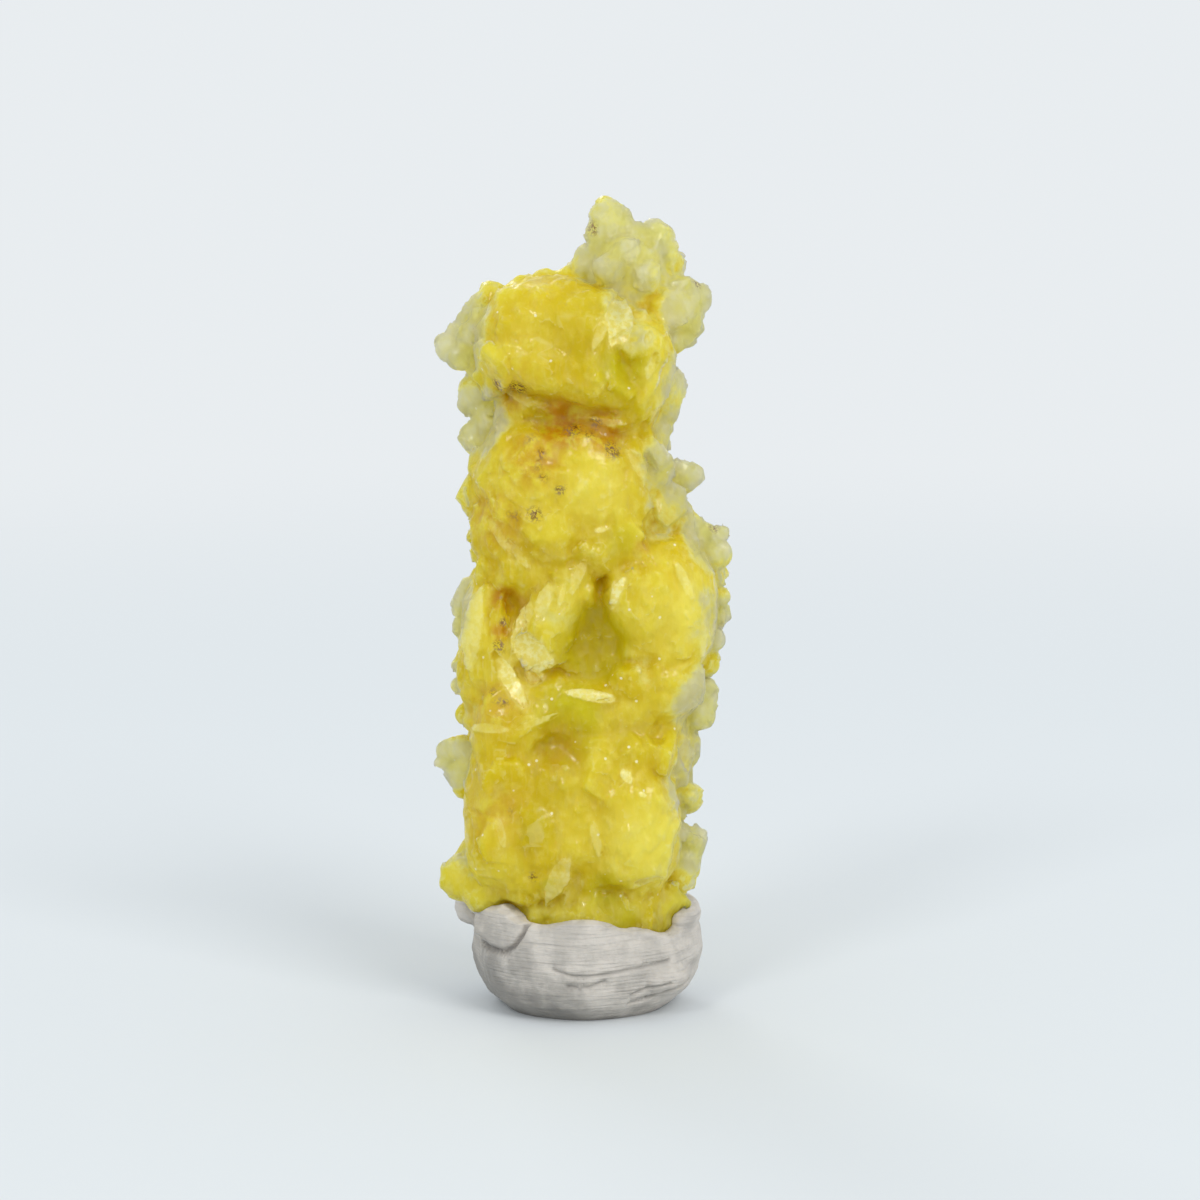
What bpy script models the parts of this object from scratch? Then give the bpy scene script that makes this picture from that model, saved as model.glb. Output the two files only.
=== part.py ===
"""Brucite specimen: a lemon-yellow column of grown-together brucite crystals, held upright in a wad of putty.

Blender 4.5, metres, +Z up, front towards -Y. The origin is the middle of the putty's flat underside.
Places and sizes in the tables are millimetres: x to the right, y to the back, z up.
"""

import math
import random

import bmesh
import bpy
from mathutils import Matrix, Vector, noise
from mathutils.bvhtree import BVHTree

MM = 0.001

BRUCITE_TRIANGLES = 7600
PUTTY_TRIANGLES = 1900
BRUCITE_VOXEL = 0.38
POCKET_VOXEL = 0.7
POCKET_TRIANGLES = 12000
PUTTY_VOXEL = 0.5
PUTTY_SMOOTHING = 6
FIT_GAP = 0.5  # clearance between the crystals and the putty pressed round them
MOST_MENDS = 6

# The masses that make up the column: centre, half sizes, lean about y in degrees, how boxy, roughness.
# A boxiness of 2 is an ellipsoid, and more fills out its corners.
MASSES = {
    "root": ((0.9, 0.2, 11.4), (10.0, 8.4, 6.6), 0, 2.2, 0.04),
    "belly": ((-1.3, 0.0, 23.8), (12.3, 9.2, 11.6), 0, 2.9, 0.06),
    "belly_left": ((-8.8, -2.6, 24.8), (5.5, 6.4, 10.6), 3, 2.5, 0.06),
    "belly_right": ((5.3, -2.6, 23.6), (5.9, 7.4, 9.6), -4, 2.4, 0.06),
    "belly_top": ((3.4, -3.2, 32.0), (7.4, 5.6, 4.0), 10, 2.3, 0.07),
    "waist": ((-1.2, 0.4, 36.6), (12.9, 8.0, 5.6), -3, 2.8, 0.06),
    "waist_crest": ((-7.4, -4.6, 35.0), (6.4, 3.6, 3.0), -24, 2.3, 0.06),
    "core": ((0.2, 1.8, 50.0), (8.6, 6.4, 36.0), 0, 2.6, 0.05),
    "left_block": ((-9.8, 0.0, 43.6), (5.2, 5.8, 9.4), 3, 2.9, 0.05),
    "shoulder": ((9.2, -0.8, 48.6), (6.8, 7.4, 9.4), 4, 2.3, 0.05),
    "shoulder_rim": ((11.8, 2.4, 48.0), (4.2, 4.2, 9.4), 2, 2.6, 0.06),
    "shoulder_front": ((7.4, -4.8, 50.2), (4.8, 4.2, 5.6), 12, 2.3, 0.06),
    "shoulder_foot": ((8.8, -2.6, 39.8), (5.8, 5.2, 4.4), -10, 2.5, 0.07),
    "tongue": ((-2.8, -4.8, 49.4), (3.6, 3.2, 7.2), 26, 2.3, 0.05),
    "hollow_back": ((1.6, -1.6, 45.6), (5.6, 4.8, 8.2), 0, 2.5, 0.06),
    "collar": ((-2.0, 0.0, 62.8), (10.4, 8.4, 10.6), -6, 2.5, 0.05),
    "collar_front": ((-0.6, -3.8, 63.8), (7.2, 5.0, 7.4), -14, 2.2, 0.04),
    "collar_skirt": ((-6.6, -0.6, 56.0), (5.8, 6.4, 7.8), -20, 2.5, 0.06),
    "collar_keel": ((1.6, -3.0, 57.4), (6.6, 4.6, 4.0), 18, 2.3, 0.06),
    "neck": ((-1.0, 0.6, 72.0), (9.2, 7.0, 4.6), 4, 2.6, 0.06),
    "left_neck": ((-9.8, 2.8, 67.4), (2.6, 3.0, 3.6), 0, 2.2, 0.08),
    "right_neck": ((7.0, 1.6, 59.0), (4.6, 5.4, 6.4), 0, 2.4, 0.07),
    "right_web": ((7.6, 2.4, 66.4), (2.6, 3.4, 9.4), 0, 2.4, 0.07),
    "crown": ((-2.2, 0.0, 80.6), (10.2, 8.4, 7.6), 8, 2.4, 0.04),
    "ledge": ((-1.8, -0.7, 77.6), (10.7, 8.3, 4.3), 15, 2.8, 0.03),
    "dish": ((5.4, -1.0, 77.6), (4.8, 6.4, 7.2), 12, 2.4, 0.05),
    "left_wing": ((-12.4, 1.8, 81.4), (3.2, 1.3, 1.9), -49, 2.2, 0.08),
    "left_lower_wing": ((-11.7, 3.0, 71.4), (1.4, 1.5, 4.0), 0, 2.2, 0.08),
    "right_top": ((10.4, 0.8, 84.4), (3.6, 2.8, 3.8), -20, 2.3, 0.08),
    "waist_right": ((10.0, 1.8, 32.6), (3.0, 4.0, 6.2), 0, 2.4, 0.08),
    "low_left": ((-14.0, 0.9, 29.0), (2.0, 1.8, 2.8), 0, 2.2, 0.08),
    "spire": ((5.4, 0.8, 88.2), (4.6, 3.2, 5.6), 0, 2.5, 0.06),
    "spire_tip": ((3.3, 0.2, 93.4), (2.3, 1.7, 4.1), -8, 2.2, 0.05),
    "spire_right": ((8.3, 0.6, 91.6), (1.9, 1.7, 3.1), 6, 2.3, 0.05),
}
# Rounded crystal knobs that scallop the outline: x, y, z and radius.
KNOBS = {
    "spire": [
        (2.6, 0.3, 96.6, 1.1), (4.6, 0.0, 94.4, 1.2), (9.5, 1.0, 93.0, 1.3), (6.6, 0.0, 92.6, 1.5),
        (8.4, 0.4, 93.1, 1.4), (2.0, 0.2, 93.6, 1.3), (1.9, 0.4, 91.6, 1.4), (0.8, 0.6, 89.8, 1.4),
        (-1.0, 0.8, 87.8, 1.4), (9.8, 0.8, 91.0, 1.1), (10.6, 1.6, 89.2, 1.1), (10.8, 1.2, 87.6, 1.1),
        (3.4, -2.2, 89.4, 1.9), (7.4, -2.2, 88.6, 1.9), (5.4, 3.0, 91.4, 2.0), (8.4, 3.2, 88.6, 2.2),
        (5.4, -2.4, 91.2, 1.6), (2.6, 3.2, 88.0, 2.2),
    ],
    "crown": [
        (-7.0, 0.6, 86.8, 1.7), (-4.6, 0.4, 87.0, 1.8), (-2.0, 0.4, 87.4, 1.8), (-9.0, 0.4, 84.2, 1.7),
        (-10.8, -1.0, 76.8, 1.6), (-9.4, 4.0, 80.0, 2.6), (-4.0, 6.4, 84.0, 2.4), (2.0, 6.6, 80.4, 2.6),
    ],
    "left_wing": [
        (-10.8, 1.8, 85.9, 1.6), (-12.4, 2.2, 84.3, 1.5), (-13.9, 1.7, 83.0, 1.4), (-15.2, 2.3, 81.4, 1.4),
        (-16.2, 2.0, 79.8, 1.6), (-16.4, 1.6, 79.3, 1.1), (-14.6, 0.8, 78.8, 1.6), (-12.8, 0.4, 81.0, 1.8),
        (-12.8, 1.6, 77.8, 1.6), (-11.6, -0.2, 83.0, 1.7), (-14.0, 3.0, 80.6, 1.7), (-12.0, 3.2, 82.6, 1.8),
    ],
    "left_lower_wing": [
        (-13.2, 2.4, 75.0, 1.5), (-13.7, 3.0, 73.0, 1.5), (-12.2, 2.0, 74.2, 1.6), (-10.6, 2.8, 70.2, 1.7),
        (-13.4, 3.2, 69.2, 1.6), (-12.9, 2.6, 68.2, 1.4), (-11.8, 4.2, 71.6, 1.7), (-10.8, 3.2, 76.0, 1.8),
    ],
    "collar_left": [
        (-11.3, -0.6, 65.2, 1.3), (-11.9, -1.4, 62.8, 1.3), (-12.2, -0.4, 60.4, 1.3), (-12.1, -1.2, 58.0, 1.4),
        (-11.6, -0.8, 55.8, 1.3), (-10.8, -1.6, 53.8, 1.3),
    ],
    "left_edge": [
        (-13.6, 2.0, 50.6, 1.6), (-12.4, 1.4, 51.4, 1.5), (-14.6, 2.4, 48.6, 1.4), (-14.6, 2.0, 46.0, 1.4),
        (-14.1, 0.2, 42.8, 1.3), (-14.9, -0.4, 41.8, 1.1), (-14.9, 0.4, 39.2, 1.2), (-14.2, 0.8, 35.6, 1.4),
        (-13.8, 1.8, 49.0, 1.8), (-13.9, 2.2, 44.0, 1.4),
    ],
    "low_left": [
        (-16.4, 1.0, 31.1, 1.3), (-17.3, 0.6, 29.5, 0.7), (-15.0, 0.4, 31.4, 1.6), (-15.1, 1.2, 28.6, 1.7),
        (-14.4, 1.0, 26.6, 1.6),
    ],
    "bottom_left_balls": [(-14.5, -2.6, 16.3, 2.7), (-11.8, -3.8, 15.3, 2.8), (-12.6, -0.6, 18.6, 2.7)],
    "right_top": [
        (13.8, 1.2, 85.4, 1.7), (12.6, 0.6, 86.4, 1.4), (12.6, 1.8, 83.4, 1.5), (10.4, 0.0, 81.0, 1.6),
        (10.4, -1.0, 84.6, 1.7), (9.6, 1.4, 78.6, 1.2), (9.8, 1.0, 76.2, 1.2),
    ],
    "right_middle": [
        (9.4, 1.8, 74.0, 1.5), (9.6, 2.4, 71.8, 1.5), (7.4, 1.4, 68.4, 1.2), (11.6, 2.0, 65.0, 1.4),
        (12.0, 1.8, 63.6, 1.3), (10.4, 2.6, 62.2, 1.5), (10.8, 1.0, 59.8, 1.8), (8.0, -2.8, 64.4, 1.4),
        (9.2, -2.2, 61.8, 1.5), (8.2, -2.4, 66.8, 1.3), (9.4, 2.4, 64.0, 2.0),
    ],
    "shoulder_rim": [
        (12.6, 1.8, 57.4, 1.6), (14.8, 2.2, 57.4, 1.4), (16.9, 2.0, 57.6, 0.9), (16.2, 1.4, 55.0, 1.6),
        (16.2, 2.4, 52.4, 1.4), (16.4, 1.0, 49.8, 1.4), (16.6, 1.8, 47.6, 1.4), (15.8, 1.0, 44.6, 1.5),
        (15.2, 1.8, 41.6, 1.5), (15.2, 0.8, 38.4, 1.3),
    ],
    "waist_right": [
        (14.8, 1.4, 36.8, 1.5), (14.3, 1.0, 35.3, 1.6), (11.2, 0.4, 31.8, 1.4), (10.0, 0.8, 28.4, 1.3),
        (11.6, 1.4, 25.8, 1.4), (11.2, 0.8, 23.4, 1.2),
    ],
    "bottom_right": [
        (12.2, 1.2, 20.8, 1.3), (13.9, 1.4, 20.4, 0.8), (11.8, 0.8, 18.0, 1.4), (11.2, 0.8, 15.6, 1.4),
        (10.8, -2.0, 13.4, 1.4),
    ],
}

# Flat crystals that stand out: a point near the skin, half width, half height, thickness, the way the flat
# face looks, roll in degrees, how proud it stands.
PLATES = {
    "crown_mirror": ((3.7, -8.4, 84.5), 1.3, 3.1, 3.4, (-0.22, -0.90, 0.36), -22, 0.5),
    "crown_mirror_left": ((2.4, -8.4, 82.8), 0.7, 2.8, 2.8, (-0.46, -0.84, 0.28), -26, 0.3),
    "crown_mirror_step": ((6.0, -7.4, 85.6), 0.9, 1.2, 2.6, (-0.10, -0.85, 0.50), -20, 0.3),
    "dish_rim": ((9.4, -5.0, 76.0), 1.4, 3.2, 2.2, (0.46, -0.88, 0.10), -20, 0.4),
    "slab_outer": ((-12.4, -4.2, 47.0), 1.3, 5.6, 3.4, (-0.50, -0.86, 0.10), -10, 0.7),
    "slab_middle": ((-10.2, -5.2, 45.0), 1.0, 6.2, 3.0, (-0.44, -0.90, 0.08), -9, 0.5),
    "slab_inner": ((-7.7, -6.5, 46.8), 0.7, 2.9, 2.6, (-0.46, -0.88, 0.10), -10, 0.7),
    "slab_low": ((-8.8, -6.9, 40.6), 0.8, 3.4, 2.2, (-0.34, -0.92, 0.20), 28, 0.5),
    "slab_face": ((-5.5, -7.2, 44.6), 1.8, 2.4, 3.4, (-0.24, -0.94, 0.24), 14, 0.6),
    "slab_face_foot": ((-6.9, -7.3, 42.0), 0.7, 2.4, 2.6, (-0.30, -0.93, 0.20), 16, 0.5),
    "slab_top": ((-6.3, -6.8, 49.2), 0.6, 1.2, 2.6, (-0.24, -0.96, 0.14), -8, 0.5),
    "hollow_sill": ((0.9, -7.0, 39.0), 2.9, 0.7, 2.4, (0.02, -0.86, 0.52), -5, 0.9),
    "shoulder_spark": ((4.2, -7.8, 51.5), 0.6, 2.0, 2.6, (-0.40, -0.86, 0.30), -25, 0.6),
    "foot_blade": ((-3.2, -8.9, 17.0), 1.2, 3.4, 2.6, (-0.36, -0.92, 0.16), -28, 0.7),
    "foot_blade_right": ((-0.6, -8.7, 15.6), 0.8, 2.8, 2.2, (0.46, -0.88, 0.10), -12, 0.6),
    "foot_block": ((9.8, -5.6, 13.6), 1.6, 2.4, 3.0, (0.40, -0.90, 0.05), 0, 0.8),
}
# The crust of smaller crystals over all of it: how many are tried, radii, thicknesses, tilt, how proud.
CRUST_COUNT = 1000
CRUST_RADIUS = (1.6, 3.2)
CRUST_THICK = (1.6, 2.6)
CRUST_TILT = 0.22
CRUST_PROUD = (0.05, 0.42)
CRUST_BAND = (8.5, 86.0)  # lowest and highest crystal of the crust
CRUST_SEED = 23
# Smooth stretches that the crust leaves free: centre and radius.
CALM = [
    ((-3.6, -8.4, 80.6), 5.6), ((-7.0, -6.6, 74.6), 4.6), ((-1.6, -8.4, 73.0), 4.4), ((4.0, -7.4, 71.6), 4.4),
    ((0.6, -8.8, 64.6), 5.4), ((9.6, -7.4, 50.4), 5.4), ((5.4, -9.6, 24.0), 6.0), ((-4.0, -9.2, 27.0), 4.0),
]
WIDEST = 15.4  # the crust adds nothing past this distance from the middle plane

# The putty wad: middle and half sizes of its plan, half sizes of its flat foot, height of its widest girth.
WAD_CENTRE = (0.2, 0.2)
WAD_HALF = (13.9, 12.0)
FOOT_HALF = (8.2, 7.0)
FOOT_SPARE = 1.2  # the wad is made this much too deep, then cut flat at its foot
GIRTH_HEIGHT = 6.6
RIM_HEIGHTS = [12.2, 12.4, 12.8, 13.0, 13.2, 13.2, 12.8, 12.4, 12.0, 12.9, 11.3, 9.9]  # every 30 degrees from +X
RIM_ROUND = 1.5  # radius of the rim's rounded edge
WAD_STEPS = 44
# Folds of the wad: centre, half sizes, lean about y in degrees.
FOLDS = {
    "rear_lobe": ((-13.4, 3.2, 11.5), (2.3, 3.2, 2.5), 0),
    "raised_corner": ((11.8, 1.0, 10.8), (2.6, 4.6, 2.2), -20),
    "low_roll": ((9.0, -3.2, 5.0), (4.2, 6.4, 2.8), 8),
}
# The folded flap, a flat sheet: centre, half width, half height, thickness, facing, roll.
FLAP = ((-9.9, -6.2, 11.2), 3.3, 2.5, 3.4, (-0.62, -0.78, 0.12), -8)


def clear_scene():
    for obj in list(bpy.data.objects):
        bpy.data.objects.remove(obj)


def plain_material(name, colour, roughness, transmission=0.0):
    material = bpy.data.materials.new(name)
    material.use_nodes = True
    shader = material.node_tree.nodes["Principled BSDF"]
    shader.inputs["Base Color"].default_value = (*colour, 1.0)
    shader.inputs["Roughness"].default_value = roughness
    shader.inputs["Metallic"].default_value = 0.0
    shader.inputs["Transmission Weight"].default_value = transmission
    return material


def number_of(name):
    """A number that stays the same for a name, to seed its shape."""
    return sum(ord(letter) * (i + 1) for i, letter in enumerate(name))


def add_lump(bm, name, centre, half_sizes, lean=0.0, boxy=2.0, rough=0.08, detail=3, grow=0.0):
    """A rounded, uneven mass. grow thickens it all over."""
    seed = number_of(name)
    offset = Vector((seed % 97, seed % 31, seed % 13))
    turn = Matrix.Rotation(math.radians(lean), 3, "Y")
    made = bmesh.ops.create_icosphere(bm, subdivisions=detail, radius=1.0)
    for vert in made["verts"]:
        way = vert.co.normalized()
        reach = sum(abs(w) ** boxy for w in way) ** (-1 / boxy)
        reach *= 1.0 + rough * (noise.noise(way * 2.1 + offset) + 0.4 * noise.noise(way * 5.3 + offset))
        local = Vector(w * (h * reach + grow) for w, h in zip(way, half_sizes))
        vert.co = Vector(centre) + turn @ local


def plate_turn(facing, roll):
    """Columns: the plate's width, its height and the way its flat face looks."""
    axis = Vector(facing).normalized()
    across = Vector((0.0, 0.0, 1.0)).cross(axis).normalized()
    upright = axis.cross(across)
    frame_of_plate = Matrix((across, upright, axis)).transposed()
    return frame_of_plate @ Matrix.Rotation(math.radians(roll), 3, "Z")


def add_plate(bm, centre, half_width, half_height, thickness, facing, roll, grow=0.0):
    """A crystal plate: an uneven six-sided slab with chamfered edges, its flat face looking along facing."""
    rng = random.Random(half_width + half_height + roll)
    turn = plate_turn(facing, roll)
    chamfer = min(0.22 * thickness, 0.35 * half_width)
    corners = []
    for i in range(6):
        angle = math.radians(60 * i + 30 + rng.uniform(-9, 9))
        reach = rng.uniform(0.92, 1.12)
        corner = Vector((half_width * reach * math.cos(angle) / 0.9, half_height * reach * math.sin(angle), 0))
        corners.append(corner + corner.normalized() * grow)
    top = thickness / 2 + grow
    rings = []
    for height, inset in [(-top, chamfer), (chamfer - top, 0.0), (top - chamfer, 0.0), (top, chamfer)]:
        ring = [corner - corner.normalized() * inset + Vector((0, 0, height)) for corner in corners]
        rings.append([bm.verts.new(Vector(centre) + turn @ point) for point in ring])
    bm.faces.new(reversed(rings[0]))
    bm.faces.new(rings[-1])
    for low, high in zip(rings, rings[1:]):
        for i in range(6):
            j = (i + 1) % 6
            bm.faces.new((low[i], low[j], high[j], high[i]))


def masses(grow=0.0):
    """The masses and knobs as overlapping closed shells in one bmesh, in millimetres."""
    bm = bmesh.new()
    for name, (centre, half, lean, boxy, rough) in MASSES.items():
        add_lump(bm, name, centre, half, lean, boxy, rough, 4, grow)
    for group, row in KNOBS.items():
        for i, (x, y, z, radius) in enumerate(row):
            half = (radius, radius * 0.85, radius * 1.05)
            add_lump(bm, f"{group}{i}", (x, y, z), half, (x + z) * 37 % 50, 2.2, 0.10, 3, grow)
    return bm


def placed_plates(tree):
    """The named plates, each moved along its facing until it stands as proud of the skin as it should."""
    placed = []
    for near, half_width, half_height, thickness, facing, roll, proud in PLATES.values():
        way = Vector(facing).normalized()
        skin = tree.ray_cast(Vector(near) + way * 60, -way)[0]
        centre = skin + way * (proud - thickness / 2)
        placed.append((centre, half_width, half_height, thickness, facing, roll))
    return placed


def crust(tree):
    """Crystals set into the skin all round, found by looking at the column from outside."""
    rng = random.Random(CRUST_SEED)
    placed = []
    for _ in range(CRUST_COUNT):
        angle = rng.uniform(0, 2 * math.pi)
        aim = Vector((rng.uniform(-13, 13), rng.uniform(-4, 4), rng.uniform(*CRUST_BAND)))
        way = Vector((math.cos(angle), math.sin(angle), rng.uniform(-0.5, 0.5))).normalized()
        lean = Vector((rng.uniform(-1, 1), rng.uniform(-1, 1), rng.uniform(-1, 1))) * CRUST_TILT
        radius = rng.uniform(*CRUST_RADIUS)
        thickness = rng.uniform(*CRUST_THICK)
        proud = rng.uniform(*CRUST_PROUD)
        roll = rng.uniform(0, 60)
        place, normal, _, _ = tree.ray_cast(aim + way * 60, -way)
        if place is None or not CRUST_BAND[0] < place.z < CRUST_BAND[1] or abs(place.x) > WIDEST - radius:
            continue
        if normal.dot(way) < 0:
            normal = -normal
        if any((place - Vector(calm)).length < reach for calm, reach in CALM):
            continue
        facing = (normal + lean).normalized()
        centre = place + normal * proud - facing * thickness / 2
        placed.append((centre, radius, radius, thickness, facing, roll))
    return placed


def all_plates():
    """Every flat crystal with its place on the skin of the masses."""
    bm = masses()
    tree = BVHTree.FromBMesh(bm)
    bm.free()
    return placed_plates(tree) + crust(tree)


def crystals(plates, grow=0.0):
    """The masses, knobs and plates as overlapping closed shells in one bmesh."""
    bm = masses(grow)
    for centre, half_width, half_height, thickness, facing, roll in plates:
        add_plate(bm, centre, half_width, half_height, thickness, facing, roll, grow)
    return bm


def solid(name, bm):
    """A mesh object, in metres, of what the bmesh holds in millimetres."""
    bmesh.ops.recalc_face_normals(bm, faces=bm.faces[:])
    mesh = bpy.data.meshes.new(name)
    bm.to_mesh(mesh)
    bm.free()
    mesh.transform(Matrix.Scale(MM, 4))
    obj = bpy.data.objects.new(name, mesh)
    bpy.context.scene.collection.objects.link(obj)
    return obj


def bake_modifiers(obj):
    graph = bpy.context.evaluated_depsgraph_get()
    mesh = bpy.data.meshes.new_from_object(obj.evaluated_get(graph))
    obj.modifiers.clear()
    obj.data = mesh


def fuse(obj, voxel):
    """Makes one skin of overlapping shells."""
    modifier = obj.modifiers.new("fuse", "REMESH")
    modifier.mode = "VOXEL"
    modifier.voxel_size = voxel * MM
    bake_modifiers(obj)


def soften(obj):
    modifier = obj.modifiers.new("soften", "SMOOTH")
    modifier.factor = 0.5
    modifier.iterations = PUTTY_SMOOTHING
    bake_modifiers(obj)


def combine(base, other, operation):
    """base with the other joined to it or cut from it, as one plain mesh. The other is used up."""
    modifier = base.modifiers.new("combine", "BOOLEAN")
    modifier.operation = operation
    modifier.solver = "EXACT"
    modifier.object = other
    bake_modifiers(base)
    bpy.data.objects.remove(other)


def drop_crumbs(obj):
    """Keeps the largest connected body of the mesh."""
    bm = bmesh.new()
    bm.from_mesh(obj.data)
    left = set(bm.verts)
    bodies = []
    while left:
        stack = [left.pop()]
        body = list(stack)
        while stack:
            near = {vert for edge in stack.pop().link_edges for vert in edge.verts} & left
            left -= near
            body += near
            stack += near
        bodies.append(body)
    largest = max(bodies, key=len)
    crumbs = [vert for body in bodies if body is not largest for vert in body]
    bmesh.ops.delete(bm, geom=crumbs, context="VERTS")
    bm.to_mesh(obj.data)
    bm.free()


def mend(obj):
    """Takes out the few corners where an edge has more or less than two faces, and closes the holes."""
    bm = bmesh.new()
    bm.from_mesh(obj.data)
    bmesh.ops.triangulate(bm, faces=bm.faces[:])
    for _ in range(MOST_MENDS):
        faulty = {vert for edge in bm.edges if len(edge.link_faces) != 2 for vert in edge.verts}
        faulty |= {vert for vert in bm.verts if not vert.is_manifold}
        if not faulty:
            break
        bmesh.ops.delete(bm, geom=list(faulty), context="VERTS")
        bmesh.ops.holes_fill(bm, edges=[edge for edge in bm.edges if len(edge.link_faces) == 1], sides=0)
        bmesh.ops.triangulate(bm, faces=[face for face in bm.faces if len(face.verts) > 3])
    bmesh.ops.recalc_face_normals(bm, faces=bm.faces[:])
    bm.to_mesh(obj.data)
    bm.free()


def thin_out(obj, triangles):
    """Collapses the flattest edges until the mesh has about this many triangles."""
    mend(obj)
    modifier = obj.modifiers.new("thin out", "DECIMATE")
    modifier.ratio = min(1.0, triangles / len(obj.data.polygons))
    modifier.use_collapse_triangulate = True
    bake_modifiers(obj)
    mend(obj)


def rim_height(angle):
    """Height of the wad's rim at an angle round it, smooth between the table's values."""
    place = (angle / (2 * math.pi)) % 1.0 * len(RIM_HEIGHTS)
    i = int(place)
    share = place - i
    share = share * share * (3 - 2 * share)
    return RIM_HEIGHTS[i] * (1 - share) + RIM_HEIGHTS[(i + 1) % len(RIM_HEIGHTS)] * share


def wad_profile(angle):
    """(share of the plan's half size, height) from above the foot round the girth to near the middle of the top."""
    rim = rim_height(angle)
    swell = 1.0 + 0.03 * math.sin(3 * angle + 0.8) + 0.015 * math.sin(7 * angle)
    lip = 0.95 * swell
    crest = rim - RIM_ROUND
    points = [(0.88 * swell, 1.9), (0.96 * swell, 3.8), (swell, GIRTH_HEIGHT), (0.985 * swell, 0.55 * rim + 2.6)]
    points += [(lip, crest), (lip - 0.035, rim - 0.4), (lip - 0.10, rim), (lip - 0.18, rim - 0.3)]
    points += [(0.45, rim - 1.5)]
    return points


def wad_body():
    """The wad without its pocket: columns of points from the foot up over the rim, closed below and on top."""
    bm = bmesh.new()
    shift = Vector((*WAD_CENTRE, 0.0))
    columns = []
    for step in range(WAD_STEPS):
        angle = 2 * math.pi * step / WAD_STEPS
        across, deep = math.cos(angle), math.sin(angle)
        column = [Vector((across * FOOT_HALF[0], deep * FOOT_HALF[1], -FOOT_SPARE))]
        for share, height in wad_profile(angle):
            column.append(Vector((across * WAD_HALF[0] * share, deep * WAD_HALF[1] * share, height)))
        columns.append([bm.verts.new(point + shift) for point in column])
    top = bm.verts.new(shift + Vector((0.0, 0.0, min(RIM_HEIGHTS) - 2.0)))
    for here, there in zip(columns, columns[1:] + columns[:1]):
        for i in range(len(here) - 1):
            bm.faces.new((here[i], there[i], there[i + 1], here[i + 1]))
        bm.faces.new((here[-1], there[-1], top))
    bm.faces.new([column[0] for column in columns])
    return bm


def cut_foot(obj):
    """Cuts off what lies below z = 0 and closes the cut with one flat face."""
    bm = bmesh.new()
    bm.from_mesh(obj.data)
    everything = bm.verts[:] + bm.edges[:] + bm.faces[:]
    bmesh.ops.bisect_plane(bm, geom=everything, plane_co=(0, 0, 0), plane_no=(0, 0, -1), clear_outer=True)
    bmesh.ops.holes_fill(bm, edges=[edge for edge in bm.edges if edge.is_boundary], sides=0)
    bmesh.ops.triangulate(bm, faces=[face for face in bm.faces if len(face.verts) > 3])
    bm.to_mesh(obj.data)
    bm.free()


def pocket(plates):
    """The hollow that the crystals press into the putty: their own shape, grown by the clearance."""
    obj = solid("pocket", crystals(plates, FIT_GAP))
    fuse(obj, POCKET_VOXEL)
    drop_crumbs(obj)
    thin_out(obj, POCKET_TRIANGLES)
    return obj


def build_putty(plates):
    bm = wad_body()
    for name, (centre, half, lean) in FOLDS.items():
        add_lump(bm, name, centre, half, lean, 2.0, 0.05)
    add_plate(bm, *FLAP)
    putty = solid("putty", bm)
    fuse(putty, PUTTY_VOXEL)
    soften(putty)
    combine(putty, pocket(plates), "DIFFERENCE")
    drop_crumbs(putty)
    thin_out(putty, PUTTY_TRIANGLES)
    cut_foot(putty)
    putty.data.materials.clear()
    putty.data.materials.append(plain_material("putty", (0.66, 0.63, 0.59), 0.75))


def build_brucite(plates):
    brucite = solid("brucite", crystals(plates))
    fuse(brucite, BRUCITE_VOXEL)
    drop_crumbs(brucite)
    thin_out(brucite, BRUCITE_TRIANGLES)
    brucite.data.materials.clear()
    brucite.data.materials.append(plain_material("brucite", (0.72, 0.60, 0.06), 0.30, 0.2))


clear_scene()
flat_crystals = all_plates()
build_putty(flat_crystals)
build_brucite(flat_crystals)
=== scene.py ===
"""Brucite specimen, as it looks: translucent lemon-yellow crystals on end in a wad of warm grey putty.

The tables are millimetres in the frame's own axes: x to the right, y to the back, z up.
The origin is the middle of the putty's flat underside.
"""

import math
import random
from contextlib import contextmanager

import bmesh
import bpy
import numpy as np
from mathutils import Matrix, Vector, noise
from mathutils.bvhtree import BVHTree
from mathutils.kdtree import KDTree


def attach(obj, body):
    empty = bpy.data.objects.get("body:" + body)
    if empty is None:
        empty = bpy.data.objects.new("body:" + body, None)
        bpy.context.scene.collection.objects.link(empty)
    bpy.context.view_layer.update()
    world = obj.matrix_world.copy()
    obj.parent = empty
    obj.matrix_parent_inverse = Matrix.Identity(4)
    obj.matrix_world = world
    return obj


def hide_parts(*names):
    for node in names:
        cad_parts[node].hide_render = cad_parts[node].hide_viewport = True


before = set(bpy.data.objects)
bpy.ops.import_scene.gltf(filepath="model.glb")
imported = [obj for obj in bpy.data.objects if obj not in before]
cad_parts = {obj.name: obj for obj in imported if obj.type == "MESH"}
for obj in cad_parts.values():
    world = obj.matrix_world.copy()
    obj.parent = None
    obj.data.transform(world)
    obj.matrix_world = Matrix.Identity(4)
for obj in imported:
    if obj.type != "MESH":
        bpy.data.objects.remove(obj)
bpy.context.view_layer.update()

MM = 0.001

# ---------------------------------------------------------------- crystals: sizes and places

BRUCITE_VOXEL = 0.28
BRUCITE_TRIANGLES = 192000

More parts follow.
